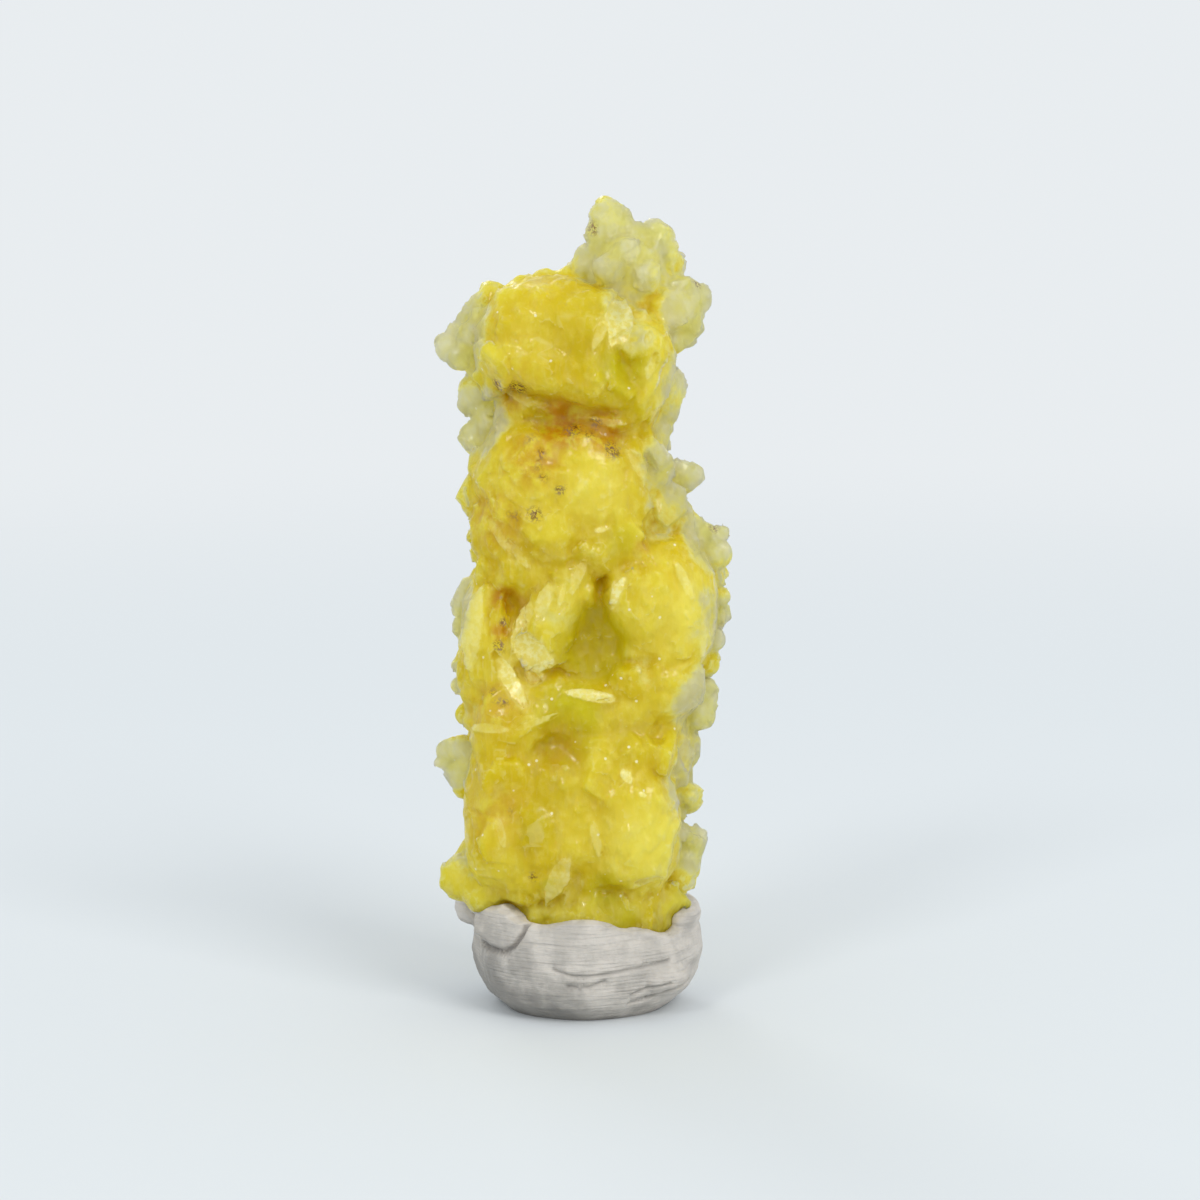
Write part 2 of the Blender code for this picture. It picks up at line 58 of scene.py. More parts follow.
# The masses that make up the column: centre, half sizes, lean about y in degrees, how boxy, roughness.
# A boxiness of 2 is an ellipsoid, and more fills out its corners.
MASSES = {
    "root": ((0.9, 0.2, 11.4), (10.0, 8.4, 6.6), 0, 2.2, 0.04),
    "belly": ((-1.3, 0.0, 23.8), (12.3, 9.2, 11.6), 0, 2.9, 0.06),
    "belly_left": ((-8.8, -2.6, 24.8), (5.5, 6.4, 10.6), 3, 2.5, 0.06),
    "belly_right": ((5.3, -2.6, 23.6), (5.9, 7.4, 9.6), -4, 2.4, 0.06),
    "belly_top": ((3.4, -3.2, 32.0), (7.4, 5.6, 4.0), 10, 2.3, 0.07),
    "waist": ((-1.2, 0.4, 36.6), (12.9, 8.0, 5.6), -3, 2.8, 0.06),
    "waist_crest": ((-7.4, -4.6, 35.0), (6.4, 3.6, 3.0), -24, 2.3, 0.06),
    "core": ((0.2, 1.8, 50.0), (8.6, 6.4, 36.0), 0, 2.6, 0.05),
    "left_block": ((-9.8, 0.0, 43.6), (5.2, 5.8, 9.4), 3, 2.9, 0.05),
    "shoulder": ((9.2, -0.8, 48.6), (6.8, 7.4, 9.4), 4, 2.3, 0.05),
    "shoulder_rim": ((11.8, 2.4, 48.0), (4.2, 4.2, 9.4), 2, 2.6, 0.06),
    "shoulder_front": ((7.4, -4.8, 50.2), (4.8, 4.2, 5.6), 12, 2.3, 0.06),
    "shoulder_foot": ((8.8, -2.6, 39.8), (5.8, 5.2, 4.4), -10, 2.5, 0.07),
    "tongue": ((-2.8, -4.8, 49.4), (3.6, 3.2, 7.2), 26, 2.3, 0.05),
    "hollow_back": ((1.6, -1.6, 45.6), (5.6, 4.8, 8.2), 0, 2.5, 0.06),
    "collar": ((-2.0, 0.0, 62.8), (10.4, 8.4, 10.6), -6, 2.5, 0.05),
    "collar_front": ((-0.6, -3.8, 63.8), (7.2, 5.0, 7.4), -14, 2.2, 0.04),
    "collar_skirt": ((-6.6, -0.6, 56.0), (5.8, 6.4, 7.8), -20, 2.5, 0.06),
    "collar_keel": ((1.6, -3.0, 57.4), (6.6, 4.6, 4.0), 18, 2.3, 0.06),
    "neck": ((-1.0, 0.6, 72.0), (9.2, 7.0, 4.6), 4, 2.6, 0.06),
    "left_neck": ((-9.8, 2.8, 67.4), (2.6, 3.0, 3.6), 0, 2.2, 0.08),
    "right_neck": ((7.0, 1.6, 59.0), (4.6, 5.4, 6.4), 0, 2.4, 0.07),
    "right_web": ((7.6, 2.4, 66.4), (2.6, 3.4, 9.4), 0, 2.4, 0.07),
    "crown": ((-2.2, 0.0, 80.6), (10.2, 8.4, 7.6), 8, 2.4, 0.04),
    "ledge": ((-1.8, -0.7, 77.6), (10.7, 8.3, 4.3), 15, 2.8, 0.03),
    "dish": ((5.4, -1.0, 77.6), (4.8, 6.4, 7.2), 12, 2.4, 0.05),
    "left_wing": ((-12.4, 1.8, 81.4), (3.2, 1.3, 1.9), -49, 2.2, 0.08),
    "left_lower_wing": ((-11.7, 3.0, 71.4), (1.4, 1.5, 4.0), 0, 2.2, 0.08),
    "right_top": ((10.4, 0.8, 84.4), (3.6, 2.8, 3.8), -20, 2.3, 0.08),
    "waist_right": ((10.0, 1.8, 32.6), (3.0, 4.0, 6.2), 0, 2.4, 0.08),
    "low_left": ((-14.0, 0.9, 29.0), (2.0, 1.8, 2.8), 0, 2.2, 0.08),
    "spire": ((5.4, 0.8, 88.2), (4.6, 3.2, 5.6), 0, 2.5, 0.06),
    "spire_tip": ((3.3, 0.2, 93.4), (2.3, 1.7, 4.1), -8, 2.2, 0.05),
    "spire_right": ((8.3, 0.6, 91.6), (1.9, 1.7, 3.1), 6, 2.3, 0.05),
}
# Rounded crystal knobs that scallop the outline: x, y, z and radius.
KNOBS = {
    "spire": [
        (2.6, 0.3, 96.6, 1.1), (4.6, 0.0, 94.4, 1.2), (9.5, 1.0, 93.0, 1.3), (6.6, 0.0, 92.6, 1.5),
        (8.4, 0.4, 93.1, 1.4), (2.0, 0.2, 93.6, 1.3), (1.9, 0.4, 91.6, 1.4), (0.8, 0.6, 89.8, 1.4),
        (-1.0, 0.8, 87.8, 1.4), (9.8, 0.8, 91.0, 1.1), (10.6, 1.6, 89.2, 1.1), (10.8, 1.2, 87.6, 1.1),
        (3.4, -2.2, 89.4, 1.9), (7.4, -2.2, 88.6, 1.9), (5.4, 3.0, 91.4, 2.0), (8.4, 3.2, 88.6, 2.2),
        (5.4, -2.4, 91.2, 1.6), (2.6, 3.2, 88.0, 2.2),
    ],
    "crown": [
        (-7.0, 0.6, 86.8, 1.7), (-4.6, 0.4, 87.0, 1.8), (-2.0, 0.4, 87.4, 1.8), (-9.0, 0.4, 84.2, 1.7),
        (-10.8, -1.0, 76.8, 1.6), (-9.4, 4.0, 80.0, 2.6), (-4.0, 6.4, 84.0, 2.4), (2.0, 6.6, 80.4, 2.6),
    ],
    "left_wing": [
        (-10.8, 1.8, 85.9, 1.6), (-12.4, 2.2, 84.3, 1.5), (-13.9, 1.7, 83.0, 1.4), (-15.2, 2.3, 81.4, 1.4),
        (-16.2, 2.0, 79.8, 1.6), (-16.4, 1.6, 79.3, 1.1), (-14.6, 0.8, 78.8, 1.6), (-12.8, 0.4, 81.0, 1.8),
        (-12.8, 1.6, 77.8, 1.6), (-11.6, -0.2, 83.0, 1.7), (-14.0, 3.0, 80.6, 1.7), (-12.0, 3.2, 82.6, 1.8),
    ],
    "left_lower_wing": [
        (-13.2, 2.4, 75.0, 1.5), (-13.7, 3.0, 73.0, 1.5), (-12.2, 2.0, 74.2, 1.6), (-10.6, 2.8, 70.2, 1.7),
        (-13.4, 3.2, 69.2, 1.6), (-12.9, 2.6, 68.2, 1.4), (-11.8, 4.2, 71.6, 1.7), (-10.8, 3.2, 76.0, 1.8),
    ],
    "collar_left": [
        (-11.3, -0.6, 65.6, 1.2), (-11.6, -1.4, 62.4, 1.7), (-12.3, -0.4, 60.0, 1.2),
        (-11.8, -1.2, 57.6, 1.8), (-11.9, -0.8, 55.4, 1.0), (-10.8, -1.6, 53.6, 1.4),
    ],
    "left_edge": [
        (-13.6, 2.0, 50.6, 1.6), (-12.4, 1.4, 51.4, 1.5), (-14.6, 2.4, 48.6, 1.4), (-14.6, 2.0, 46.0, 1.4),
        (-14.1, 0.2, 42.8, 1.3), (-14.9, -0.4, 41.8, 1.1), (-14.9, 0.4, 39.2, 1.2), (-14.2, 0.8, 35.6, 1.4),
        (-13.8, 1.8, 49.0, 1.8), (-13.9, 2.2, 44.0, 1.4),
    ],
    "low_left": [
        (-16.4, 1.0, 31.1, 1.3), (-17.3, 0.6, 29.5, 0.7), (-15.0, 0.4, 31.4, 1.6), (-15.1, 1.2, 28.6, 1.7),
        (-14.4, 1.0, 26.6, 1.6),
    ],
    "bottom_left_balls": [(-14.5, -2.6, 16.3, 2.7), (-11.8, -3.8, 15.3, 2.8), (-12.6, -0.6, 18.6, 2.7)],
    "right_top": [
        (13.8, 1.2, 85.4, 1.7), (12.6, 0.6, 86.4, 1.4), (12.6, 1.8, 83.4, 1.5), (10.4, 0.0, 81.0, 1.6),
        (10.4, -1.0, 84.6, 1.7), (9.6, 1.4, 78.6, 1.2), (9.8, 1.0, 76.2, 1.2),
    ],
    "right_middle": [
        (9.4, 1.8, 74.0, 1.5), (9.6, 2.4, 71.8, 1.5), (7.4, 1.4, 68.4, 1.2), (11.6, 2.0, 65.0, 1.4),
        (12.0, 1.8, 63.6, 1.3), (10.4, 2.6, 62.2, 1.5), (10.8, 1.0, 59.8, 1.8), (8.0, -2.8, 64.4, 1.4),
        (9.2, -2.2, 61.8, 1.5), (8.2, -2.4, 66.8, 1.3), (9.4, 2.4, 64.0, 2.0),
    ],
    "shoulder_rim": [
        (12.6, 1.8, 57.4, 1.6), (14.8, 2.2, 57.4, 1.4), (16.9, 2.0, 57.6, 0.9), (16.2, 1.4, 55.0, 1.6),
        (16.2, 2.4, 52.4, 1.4), (16.4, 1.0, 49.8, 1.4), (16.6, 1.8, 47.6, 1.4), (15.8, 1.0, 44.6, 1.5),
        (15.2, 1.8, 41.6, 1.5), (15.2, 0.8, 38.4, 1.3),
    ],
    "waist_right": [
        (14.8, 1.4, 36.8, 1.5), (14.3, 1.0, 35.3, 1.6), (11.2, 0.4, 31.8, 1.4), (10.0, 0.8, 28.4, 1.3),
        (11.6, 1.4, 25.8, 1.4), (11.2, 0.8, 23.4, 1.2),
    ],
    "bottom_right": [
        (12.2, 1.2, 20.8, 1.3), (13.9, 1.4, 20.4, 0.8), (11.8, 0.8, 18.0, 1.4), (11.2, 0.8, 15.6, 1.4),
        (10.8, -2.0, 13.4, 1.4),
    ],
}

# Flat crystals that stand out: a point near the skin, half width, half height, thickness, the way the flat
# face looks, roll in degrees, how proud it stands, how much it gleams with a painted highlight.
PLATES = {
    "crown_mirror": ((3.9, -8.4, 84.2), 1.6, 3.2, 3.4, (-0.20, -0.92, 0.34), -22, 0.30, 1.0),
    "crown_mirror_left": ((1.9, -8.4, 82.6), 0.6, 2.4, 2.8, (-0.46, -0.84, 0.28), -26, 0.10, 0.3),
    "crown_mirror_step": ((6.4, -7.4, 85.8), 0.9, 1.2, 2.6, (-0.10, -0.85, 0.50), -20, 0.2, 0.2),
    "dish_rim": ((9.4, -5.0, 76.0), 1.4, 3.2, 2.2, (0.46, -0.88, 0.10), -20, 0.3, 0.1),
    "slab_outer": ((-12.2, -4.2, 47.0), 1.3, 5.2, 3.4, (-0.50, -0.86, 0.10), -9, 0.55, 0.35),
    "slab_middle": ((-10.2, -5.2, 45.0), 1.0, 6.2, 3.0, (-0.44, -0.90, 0.08), -9, 0.5, 0.0),
    "slab_inner": ((-7.8, -6.5, 46.8), 0.8, 2.9, 3.0, (-0.32, -0.94, 0.08), -12, 0.9, 0.85),
    "slab_low": ((-9.0, -6.9, 41.2), 0.9, 3.8, 2.6, (-0.34, -0.92, 0.20), 28, 0.7, 0.95),
    "slab_face": ((-5.8, -7.2, 44.2), 2.0, 2.9, 3.4, (-0.24, -0.94, 0.24), 14, 0.5, 1.0),
    "slab_face_foot": ((-6.9, -7.3, 42.0), 0.7, 2.4, 2.6, (-0.30, -0.93, 0.20), 16, 0.25, 0.9),
    "slab_top": ((-6.3, -6.8, 49.2), 0.6, 1.2, 2.6, (-0.24, -0.96, 0.14), -8, 0.25, 0.5),
    "hollow_sill": ((0.9, -7.0, 39.0), 2.9, 0.7, 2.4, (0.02, -0.86, 0.52), -5, 0.6, 0.9),
    "shoulder_spark": ((4.2, -7.8, 51.5), 0.6, 2.0, 2.6, (-0.40, -0.86, 0.30), -25, 0.35, 1.0),
    "tongue_glint": ((-2.4, -8.2, 51.4), 0.35, 1.4, 1.2, (0.10, -0.98, 0.15), -20, 0.15, 0.6),
    "foot_blade": ((-3.2, -8.9, 17.0), 1.2, 3.4, 2.6, (-0.36, -0.92, 0.16), -28, 0.5, 0.35),
    "foot_blade_right": ((-0.6, -8.7, 15.6), 0.8, 2.8, 2.2, (0.46, -0.88, 0.10), -12, 0.4, 0.1),
    "foot_block": ((9.8, -5.6, 13.6), 1.6, 2.4, 3.0, (0.40, -0.90, 0.05), 0, 0.8, 0.0),
    "collar_facet": ((2.2, -8.2, 59.0), 0.8, 0.35, 2.4, (0.10, -0.94, -0.12), 20, 0.2, 0.8),
    "belly_glint": ((7.0, -9.0, 27.6), 0.5, 0.3, 1.6, (0.10, -0.98, 0.20), -10, 0.15, 0.8),
    "crown_chip": ((7.6, -6.4, 81.2), 0.5, 0.9, 1.8, (0.10, -0.95, 0.30), -30, 0.2, 0.5),
    "dish_rim_top": ((7.8, -6.4, 78.2), 0.5, 1.5, 2.0, (0.30, -0.92, 0.20), -25, 0.25, 0.55),
    "lip_edge": ((2.6, -7.6, 71.9), 3.4, 0.45, 2.0, (0.05, -0.95, 0.25), -9, 0.35, 0.08),
    "lip_edge_left": ((-6.6, -7.4, 74.2), 3.0, 0.45, 2.0, (-0.15, -0.95, 0.25), -21, 0.35, 0.08),
    "collar_step": ((6.4, -6.6, 66.6), 0.6, 1.9, 2.0, (0.25, -0.95, 0.10), 20, 0.25, 0.35),
    "collar_left_step": ((-9.6, -5.8, 58.4), 0.6, 2.2, 2.0, (-0.50, -0.86, 0.05), 30, 0.3, 0.25),
    "skirt_step": ((-7.4, -6.6, 56.0), 0.5, 2.0, 2.0, (-0.35, -0.92, 0.05), 34, 0.25, 0.3),
    "tongue_face": ((-4.6, -7.6, 50.4), 0.9, 2.1, 2.2, (-0.30, -0.95, 0.10), -24, 0.25, 0.45),
    "tongue_edge": ((-0.6, -7.4, 53.4), 0.6, 2.2, 2.2, (0.20, -0.95, 0.15), -30, 0.25, 0.4),
    "waist_band": ((-11.0, -6.6, 35.0), 2.7, 0.55, 2.2, (-0.30, -0.92, 0.30), 3, 0.35, 0.3),
    "waist_line": ((-5.4, -7.6, 36.0), 2.6, 0.4, 2.0, (-0.10, -0.95, 0.30), 24, 0.3, 0.2),
    "shoulder_arc": ((11.4, -6.0, 52.6), 0.6, 2.4, 2.0, (0.45, -0.88, 0.15), 18, 0.25, 0.3),
    "shoulder_arc_low": ((13.2, -4.6, 46.0), 0.6, 2.4, 2.0, (0.60, -0.80, 0.05), -6, 0.25, 0.3),
    "waist_chip": ((14.6, -1.4, 38.6), 0.4, 1.0, 1.6, (0.60, -0.78, 0.20), -14, 0.3, 0.7),
    "belly_right_face": ((12.0, -1.4, 31.2), 0.7, 2.0, 2.0, (0.66, -0.74, 0.10), -14, 0.3, 0.5),
    "belly_top_glint": ((5.2, -9.0, 29.8), 0.6, 0.9, 1.6, (0.05, -0.97, 0.25), 14, 0.2, 0.8),
    "belly_front_step": ((1.6, -9.2, 22.4), 0.5, 2.2, 1.8, (-0.15, -0.98, 0.05), 6, 0.2, 0.15),
    "belly_low_step": ((7.6, -8.2, 17.4), 1.6, 0.5, 1.8, (0.10, -0.97, -0.05), 16, 0.25, 0.3),
    "belly_left_facet": ((-9.0, -7.8, 23.0), 0.5, 1.8, 1.6, (-0.40, -0.90, 0.10), 8, 0.2, 0.25),
}
# The skin over a gleaming plate is pressed flat if it lies near the plate's face and looks its way.
STAMP_OUT = 0.6
STAMP_IN = 1.2
STAMP_ALONG = 0.6
PLATE_SLANT = 0.30
PLATE_CORNERS = 0.72  # 0.5 cuts the corners to a diamond, and 1 leaves them whole

# The crust of small crystals all over, from coarse to fine: how many are tried, the highest, radii,
# thicknesses, tilt and how proud they stand.
CRUST = [
    (1000, 86.0, (1.6, 3.2), (1.6, 2.6), 0.22, (0.05, 0.42)),
    (2600, 97.0, (0.6, 1.4), (0.9, 1.4), 0.30, (0.02, 0.20)),
]
CRUST_LOWEST = 8.5
CALM_RADIUS = 1.5  # the largest crystals of the fine crust
# Smooth stretches that only the fine crust grows on: x, y, z and radius.
CALM = [
    (-3.6, -8.4, 80.6, 5.6), (-7.0, -6.6, 74.6, 4.6), (-1.6, -8.4, 73.0, 4.4), (4.0, -7.4, 71.6, 4.4),
    (0.6, -8.8, 64.6, 5.4), (9.6, -7.4, 50.4, 5.4), (5.4, -9.6, 24.0, 6.0), (-4.0, -9.2, 27.0, 4.0),
    (-14.5, -2.6, 16.3, 4.0), (-11.8, -3.8, 15.3, 4.0), (-15.4, 1.0, 29.6, 4.0),
    (-14.0, 1.8, 81.4, 4.4), (-12.8, 3.0, 71.4, 4.0), (1.4, -5.0, 45.4, 5.4), (-2.6, -8.0, 50.0, 4.0),
]
CRUST_SEED = 23
FAR = 60  # rays towards the column start this far out
WIDEST = 15.4  # the crust adds nothing past this distance from the middle plane

# Ridges where the edges of stacked plates show: centre, radius, the way they step, pitch, height.
RIDGES = {
    "collar_diagonal": ((-6.4, -5.0, 62.0), 7.0, (-0.62, 0.10, -0.78), 1.7, 0.20),
    "collar_skirt": ((-8.8, -4.0, 55.4), 5.0, (-0.80, 0.10, -0.30), 1.2, 0.20),
    "block_upright": ((-11.0, -3.0, 44.6), 7.0, (-0.98, 0.10, 0.10), 1.0, 0.20),
    "shoulder_rings": ((15.0, 0.0, 49.0), 8.5, (0.86, 0.50, 0.12), 1.15, 0.32),
    "waist_bands": ((4.0, -6.0, 34.0), 7.0, (0.30, 0.10, -0.95), 1.8, 0.14),
    "belly_right": ((12.0, -2.0, 22.0), 6.0, (0.90, 0.40, -0.20), 1.3, 0.16),
    "crown_left": ((-9.6, -4.0, 79.0), 5.0, (-0.90, 0.10, 0.40), 1.6, 0.10),
    "dish_side": ((10.0, -3.0, 76.0), 5.0, (0.80, 0.20, -0.50), 1.3, 0.16),
}
# Hollows pressed straight back into the skin: centre, half width, half height, depth.
HOLLOWS = {
    "dish": ((4.8, -7.0, 78.4), 3.2, 4.6, 1.7),
    "mid": ((1.4, -6.0, 45.6), 3.3, 5.4, 1.9),
    "under_lip": ((-3.4, -7.0, 71.6), 5.6, 1.7, 1.1),
    "block_gap": ((-8.6, -6.0, 50.2), 1.3, 2.6, 1.0),
    "under_belly": ((3.4, -7.6, 14.6), 2.4, 3.0, 0.9),
}
# Flat faces over everything.
FACET_COUNT = 1331
FACET_TILT = 0.08
FACET_FURTHEST = 0.14  # how far they may move the skin
FACET_NEIGHBOURS = 5
FACET_SEED = 31


def number_of(name):
    """A number that stays the same for a name, to seed its shape."""
    return sum(ord(letter) * (i + 1) for i, letter in enumerate(name))


def add_lump(bm, name, centre, half_sizes, lean, boxy, rough, detail=5):
    """A rounded, uneven mass."""
    seed = number_of(name)
    offset = Vector((seed % 97, seed % 31, seed % 13))
    turn = Matrix.Rotation(math.radians(lean), 3, "Y")
    made = bmesh.ops.create_icosphere(bm, subdivisions=detail, radius=1.0)
    for vert in made["verts"]:
        way = vert.co.normalized()
        reach = sum(abs(w) ** boxy for w in way) ** (-1 / boxy)
        reach *= 1.0 + rough * (noise.noise(way * 2.1 + offset) + 0.4 * noise.noise(way * 5.3 + offset))
        local = Vector(w * h * reach for w, h in zip(way, half_sizes))
        vert.co = Vector(centre) + turn @ local


def plate_turn(facing, roll):
    """Columns: the plate's width, its height and the way its flat face looks."""
    axis = Vector(facing).normalized()
    across = Vector((0.0, 0.0, 1.0)).cross(axis).normalized()
    upright = axis.cross(across)
    frame_of_plate = Matrix((across, upright, axis)).transposed()
    return frame_of_plate @ Matrix.Rotation(math.radians(roll), 3, "Z")


def add_plate(bm, centre, half_width, half_height, thickness, facing, roll):
    """A crystal plate: an uneven six-sided slab with chamfered edges, its flat face looking along facing."""
    rng = random.Random(half_width + half_height + roll)
    turn = plate_turn(facing, roll)
    chamfer = min(0.22 * thickness, 0.35 * half_width)
    corners = []
    for i in range(6):
        angle = math.radians(60 * i + 30 + rng.uniform(-9, 9))
        reach = rng.uniform(0.92, 1.12)
        across = half_width * reach * math.cos(angle) / 0.9
        corners.append(Vector((across, half_height * reach * math.sin(angle), 0)))
    top = thickness / 2
    rings = []
    for height, inset in [(-top, chamfer), (chamfer - top, 0.0), (top - chamfer, 0.0), (top, chamfer)]:
        ring = [corner - corner.normalized() * inset + Vector((0, 0, height)) for corner in corners]
        rings.append([bm.verts.new(Vector(centre) + turn @ point) for point in ring])
    bm.faces.new(reversed(rings[0]))
    bm.faces.new(rings[-1])
    for low, high in zip(rings, rings[1:]):
        for i in range(6):
            j = (i + 1) % 6
            bm.faces.new((low[i], low[j], high[j], high[i]))


def masses():
    """The masses and knobs as overlapping closed shells in one bmesh."""
    bm = bmesh.new()
    for name, (centre, half, lean, boxy, rough) in MASSES.items():
        add_lump(bm, name, centre, half, lean, boxy, rough)
    for group, row in KNOBS.items():
        for i, (x, y, z, radius) in enumerate(row):
            half = (radius, radius * 0.85, radius * 1.05)
            add_lump(bm, f"{group}{i}", (x, y, z), half, (x + z) * 37 % 50, 2.2, 0.10, 4)
    return bm


def placed_plates(tree):
    """The named plates, turned half way to the skin's slope and standing as proud of it as they should."""
    placed = []
    for near, half_width, half_height, thickness, facing, roll, proud, gleam in PLATES.values():
        way = Vector(facing).normalized()
        skin, slope, _, _ = tree.ray_cast(Vector(near) + way * FAR, -way)
        if slope.dot(way) < 0:
            slope = -slope
        facing = (way + slope).normalized()
        centre = skin + facing * (proud - thickness / 2)
        placed.append((centre, half_width, half_height, thickness, facing, roll, gleam))
    return placed


def crust(tree):
    """Small crystals set into the skin all round, found by looking at the column from outside."""
    rng = random.Random(CRUST_SEED)
    placed = []
    for count, highest, radii, thicknesses, tilt, prouds in CRUST:
        for _ in range(count):
            angle = rng.uniform(0, 2 * math.pi)
            aim = Vector((rng.uniform(-13, 13), rng.uniform(-4, 4), rng.uniform(CRUST_LOWEST, highest)))
            way = Vector((math.cos(angle), math.sin(angle), rng.uniform(-0.5, 0.5))).normalized()
            lean = Vector((rng.uniform(-1, 1), rng.uniform(-1, 1), rng.uniform(-1, 1))) * tilt
            radius = rng.uniform(*radii)
            thickness = rng.uniform(*thicknesses)
            proud = rng.uniform(*prouds)
            roll = rng.uniform(0, 60)
            place, normal, _, _ = tree.ray_cast(aim + way * FAR, -way)
            if place is None or not CRUST_LOWEST < place.z < highest or abs(place.x) > WIDEST - radius:
                continue
            if normal.dot(way) < 0:
                normal = -normal
            if radius > CALM_RADIUS and any((place - Vector(calm)).length < reach for *calm, reach in CALM):
                continue
            facing = (normal + lean).normalized()
            centre = place + normal * proud - facing * thickness / 2
            placed.append((centre, radius, radius, thickness, facing, roll))
    return placed


def ridge(places, normals):
    """Raises steps like the edges of stacked plates, steep on one side."""
    lift = np.zeros(len(places))
    wander = np.array([noise.noise(Vector(place) * 0.30) for place in places.tolist()])
    for centre, radius, way, pitch, height in RIDGES.values():
        axis = np.array(way) / np.linalg.norm(way)
        offset = places - np.array(centre)
        phase = (offset @ axis) / pitch + 1.3 * wander
        saw = phase - np.floor(phase)
        step = np.where(saw < 0.8, saw / 0.8, (1 - saw) / 0.2)
        fade = 1 - smoothstep(0.5 * radius, radius, np.linalg.norm(offset, axis=1))
        across = 1 - smoothstep(0.75, 0.98, np.abs(normals @ axis))
        lift += height * (step - 0.5) * fade * across
    return places + normals * lift[:, None]


def facet(places, normals):
    """Flattens the skin into faces: each point goes to the innermost of the planes of its nearest seeds."""
    rng = np.random.default_rng(FACET_SEED)
    picks = rng.choice(len(places), FACET_COUNT, replace=False)
    planes = normals[picks] + rng.normal(0.0, FACET_TILT, (FACET_COUNT, 3))
    planes /= np.linalg.norm(planes, axis=1, keepdims=True)
    tree = KDTree(FACET_COUNT)
    for i, place in enumerate(places[picks].tolist()):
        tree.insert(place, i)
    tree.balance()
    found = [tree.find_n(place, FACET_NEIGHBOURS) for place in places.tolist()]
    nearest = np.array([[i for _, i, _ in row] for row in found])
    plane = planes[nearest]
    slope = np.einsum("ij,ikj->ik", normals, plane)
    gap = np.einsum("ikj,ikj->ik", places[picks][nearest] - places[:, None, :], plane)
    lift = np.where(slope > 0.5, gap / np.maximum(slope, 0.5), FACET_FURTHEST).min(axis=1)
    return places + normals * np.clip(lift, -FACET_FURTHEST, FACET_FURTHEST)[:, None]


def press(places):
    """Pushes the front of the skin back where it has hollows."""
    moved = places.copy()
    for centre, half_width, half_height, depth in HOLLOWS.values():
        off = np.hypot((places[:, 0] - centre[0]) / half_width, (places[:, 2] - centre[2]) / half_height)
        front = 1 - smoothstep(2.0, 5.0, places[:, 1] - centre[1])
        moved[:, 1] += depth * (1 - smoothstep(0.1, 1.25, off)) * front
    return moved


def stamp(places, normals, plates):
    """Presses the skin flat over the gleaming plates."""
    moved = places.copy()
    for centre, half_width, half_height, thickness, facing, roll, gleam in plates:
        if gleam == 0.0:
            continue
        turn = np.array(plate_turn(facing, roll))
        local = (moved - np.array(centre)) @ turn
        off = thickness / 2 - local[:, 2]
        inside = plate_share(local, half_width, half_height) < 1.0
        near = inside & (off < STAMP_OUT) & (off > -STAMP_IN) & (normals @ turn[:, 2] > STAMP_ALONG)
        moved[near] += off[near, None] * turn[:, 2]
    return moved


def plate_share(local, half_width, half_height):
    """How far out each point lies on a slanted plate with cut corners: 1 on its edge."""
    upright = local[:, 1] / half_height
    across = np.abs(local[:, 0] / half_width + PLATE_SLANT * upright)
    upright = np.abs(upright)
    return np.maximum(np.maximum(across, upright), PLATE_CORNERS * (across + upright))


# ---------------------------------------------------------------- mesh helpers

def new_object(name, data):
    obj = bpy.data.objects.new(name, data)
    bpy.context.scene.collection.objects.link(obj)
    return obj


def solid(name, bm):
    """A mesh object, in metres, of what the bmesh holds in millimetres."""
    bmesh.ops.recalc_face_normals(bm, faces=bm.faces[:])
    mesh = bpy.data.meshes.new(name)
    bm.to_mesh(mesh)
    bm.free()
    mesh.transform(Matrix.Scale(MM, 4))
    return new_object(name, mesh)


def modify(obj, kind, **settings):
    """Adds a modifier and applies it."""
    modifier = obj.modifiers.new(kind, kind)
    for key, value in settings.items():
        setattr(modifier, key, value)
    graph = bpy.context.evaluated_depsgraph_get()
    mesh = bpy.data.meshes.new_from_object(obj.evaluated_get(graph))
    obj.modifiers.clear()
    obj.data = mesh


@contextmanager
def edited(obj):
    """The object's mesh as a bmesh, which is written back afterwards."""
    bm = bmesh.new()
    bm.from_mesh(obj.data)
    yield bm
    bm.to_mesh(obj.data)
    bm.free()


def thin_out(obj, triangles):
    """Collapses the flattest edges until the mesh has about this many triangles."""
    with edited(obj) as bm:
        bmesh.ops.triangulate(bm, faces=bm.faces[:])
    modify(obj, "DECIMATE", ratio=min(1.0, triangles / len(obj.data.polygons)))


def drop_crumbs(obj):
    """Keeps the largest connected body of the mesh."""
    with edited(obj) as bm:
        left = set(bm.verts)
        bodies = []
        while left:
            stack = [left.pop()]
            body = list(stack)
            while stack:
                near = {vert for edge in stack.pop().link_edges for vert in edge.verts} & left
                left -= near
                body += near
                stack += near
            bodies.append(body)
        largest = max(bodies, key=len)
        crumbs = [vert for body in bodies if body is not largest for vert in body]
        bmesh.ops.delete(bm, geom=crumbs, context="VERTS")


def fuse(obj, voxel, rounds):
    """Makes one smoothed skin of all the overlapping shells."""
    modify(obj, "REMESH", mode="VOXEL", voxel_size=voxel * MM)
    drop_crumbs(obj)
    modify(obj, "SMOOTH", factor=0.5, iterations=rounds)


def points_of(obj):
    """The vertices and their normals as arrays, in millimetres."""
    mesh = obj.data
    places = np.empty(len(mesh.vertices) * 3)
    mesh.vertices.foreach_get("co", places)
    normals = np.empty(len(mesh.vertices) * 3)
    mesh.vertex_normals.foreach_get("vector", normals)
    return places.reshape(-1, 3) / MM, normals.reshape(-1, 3)


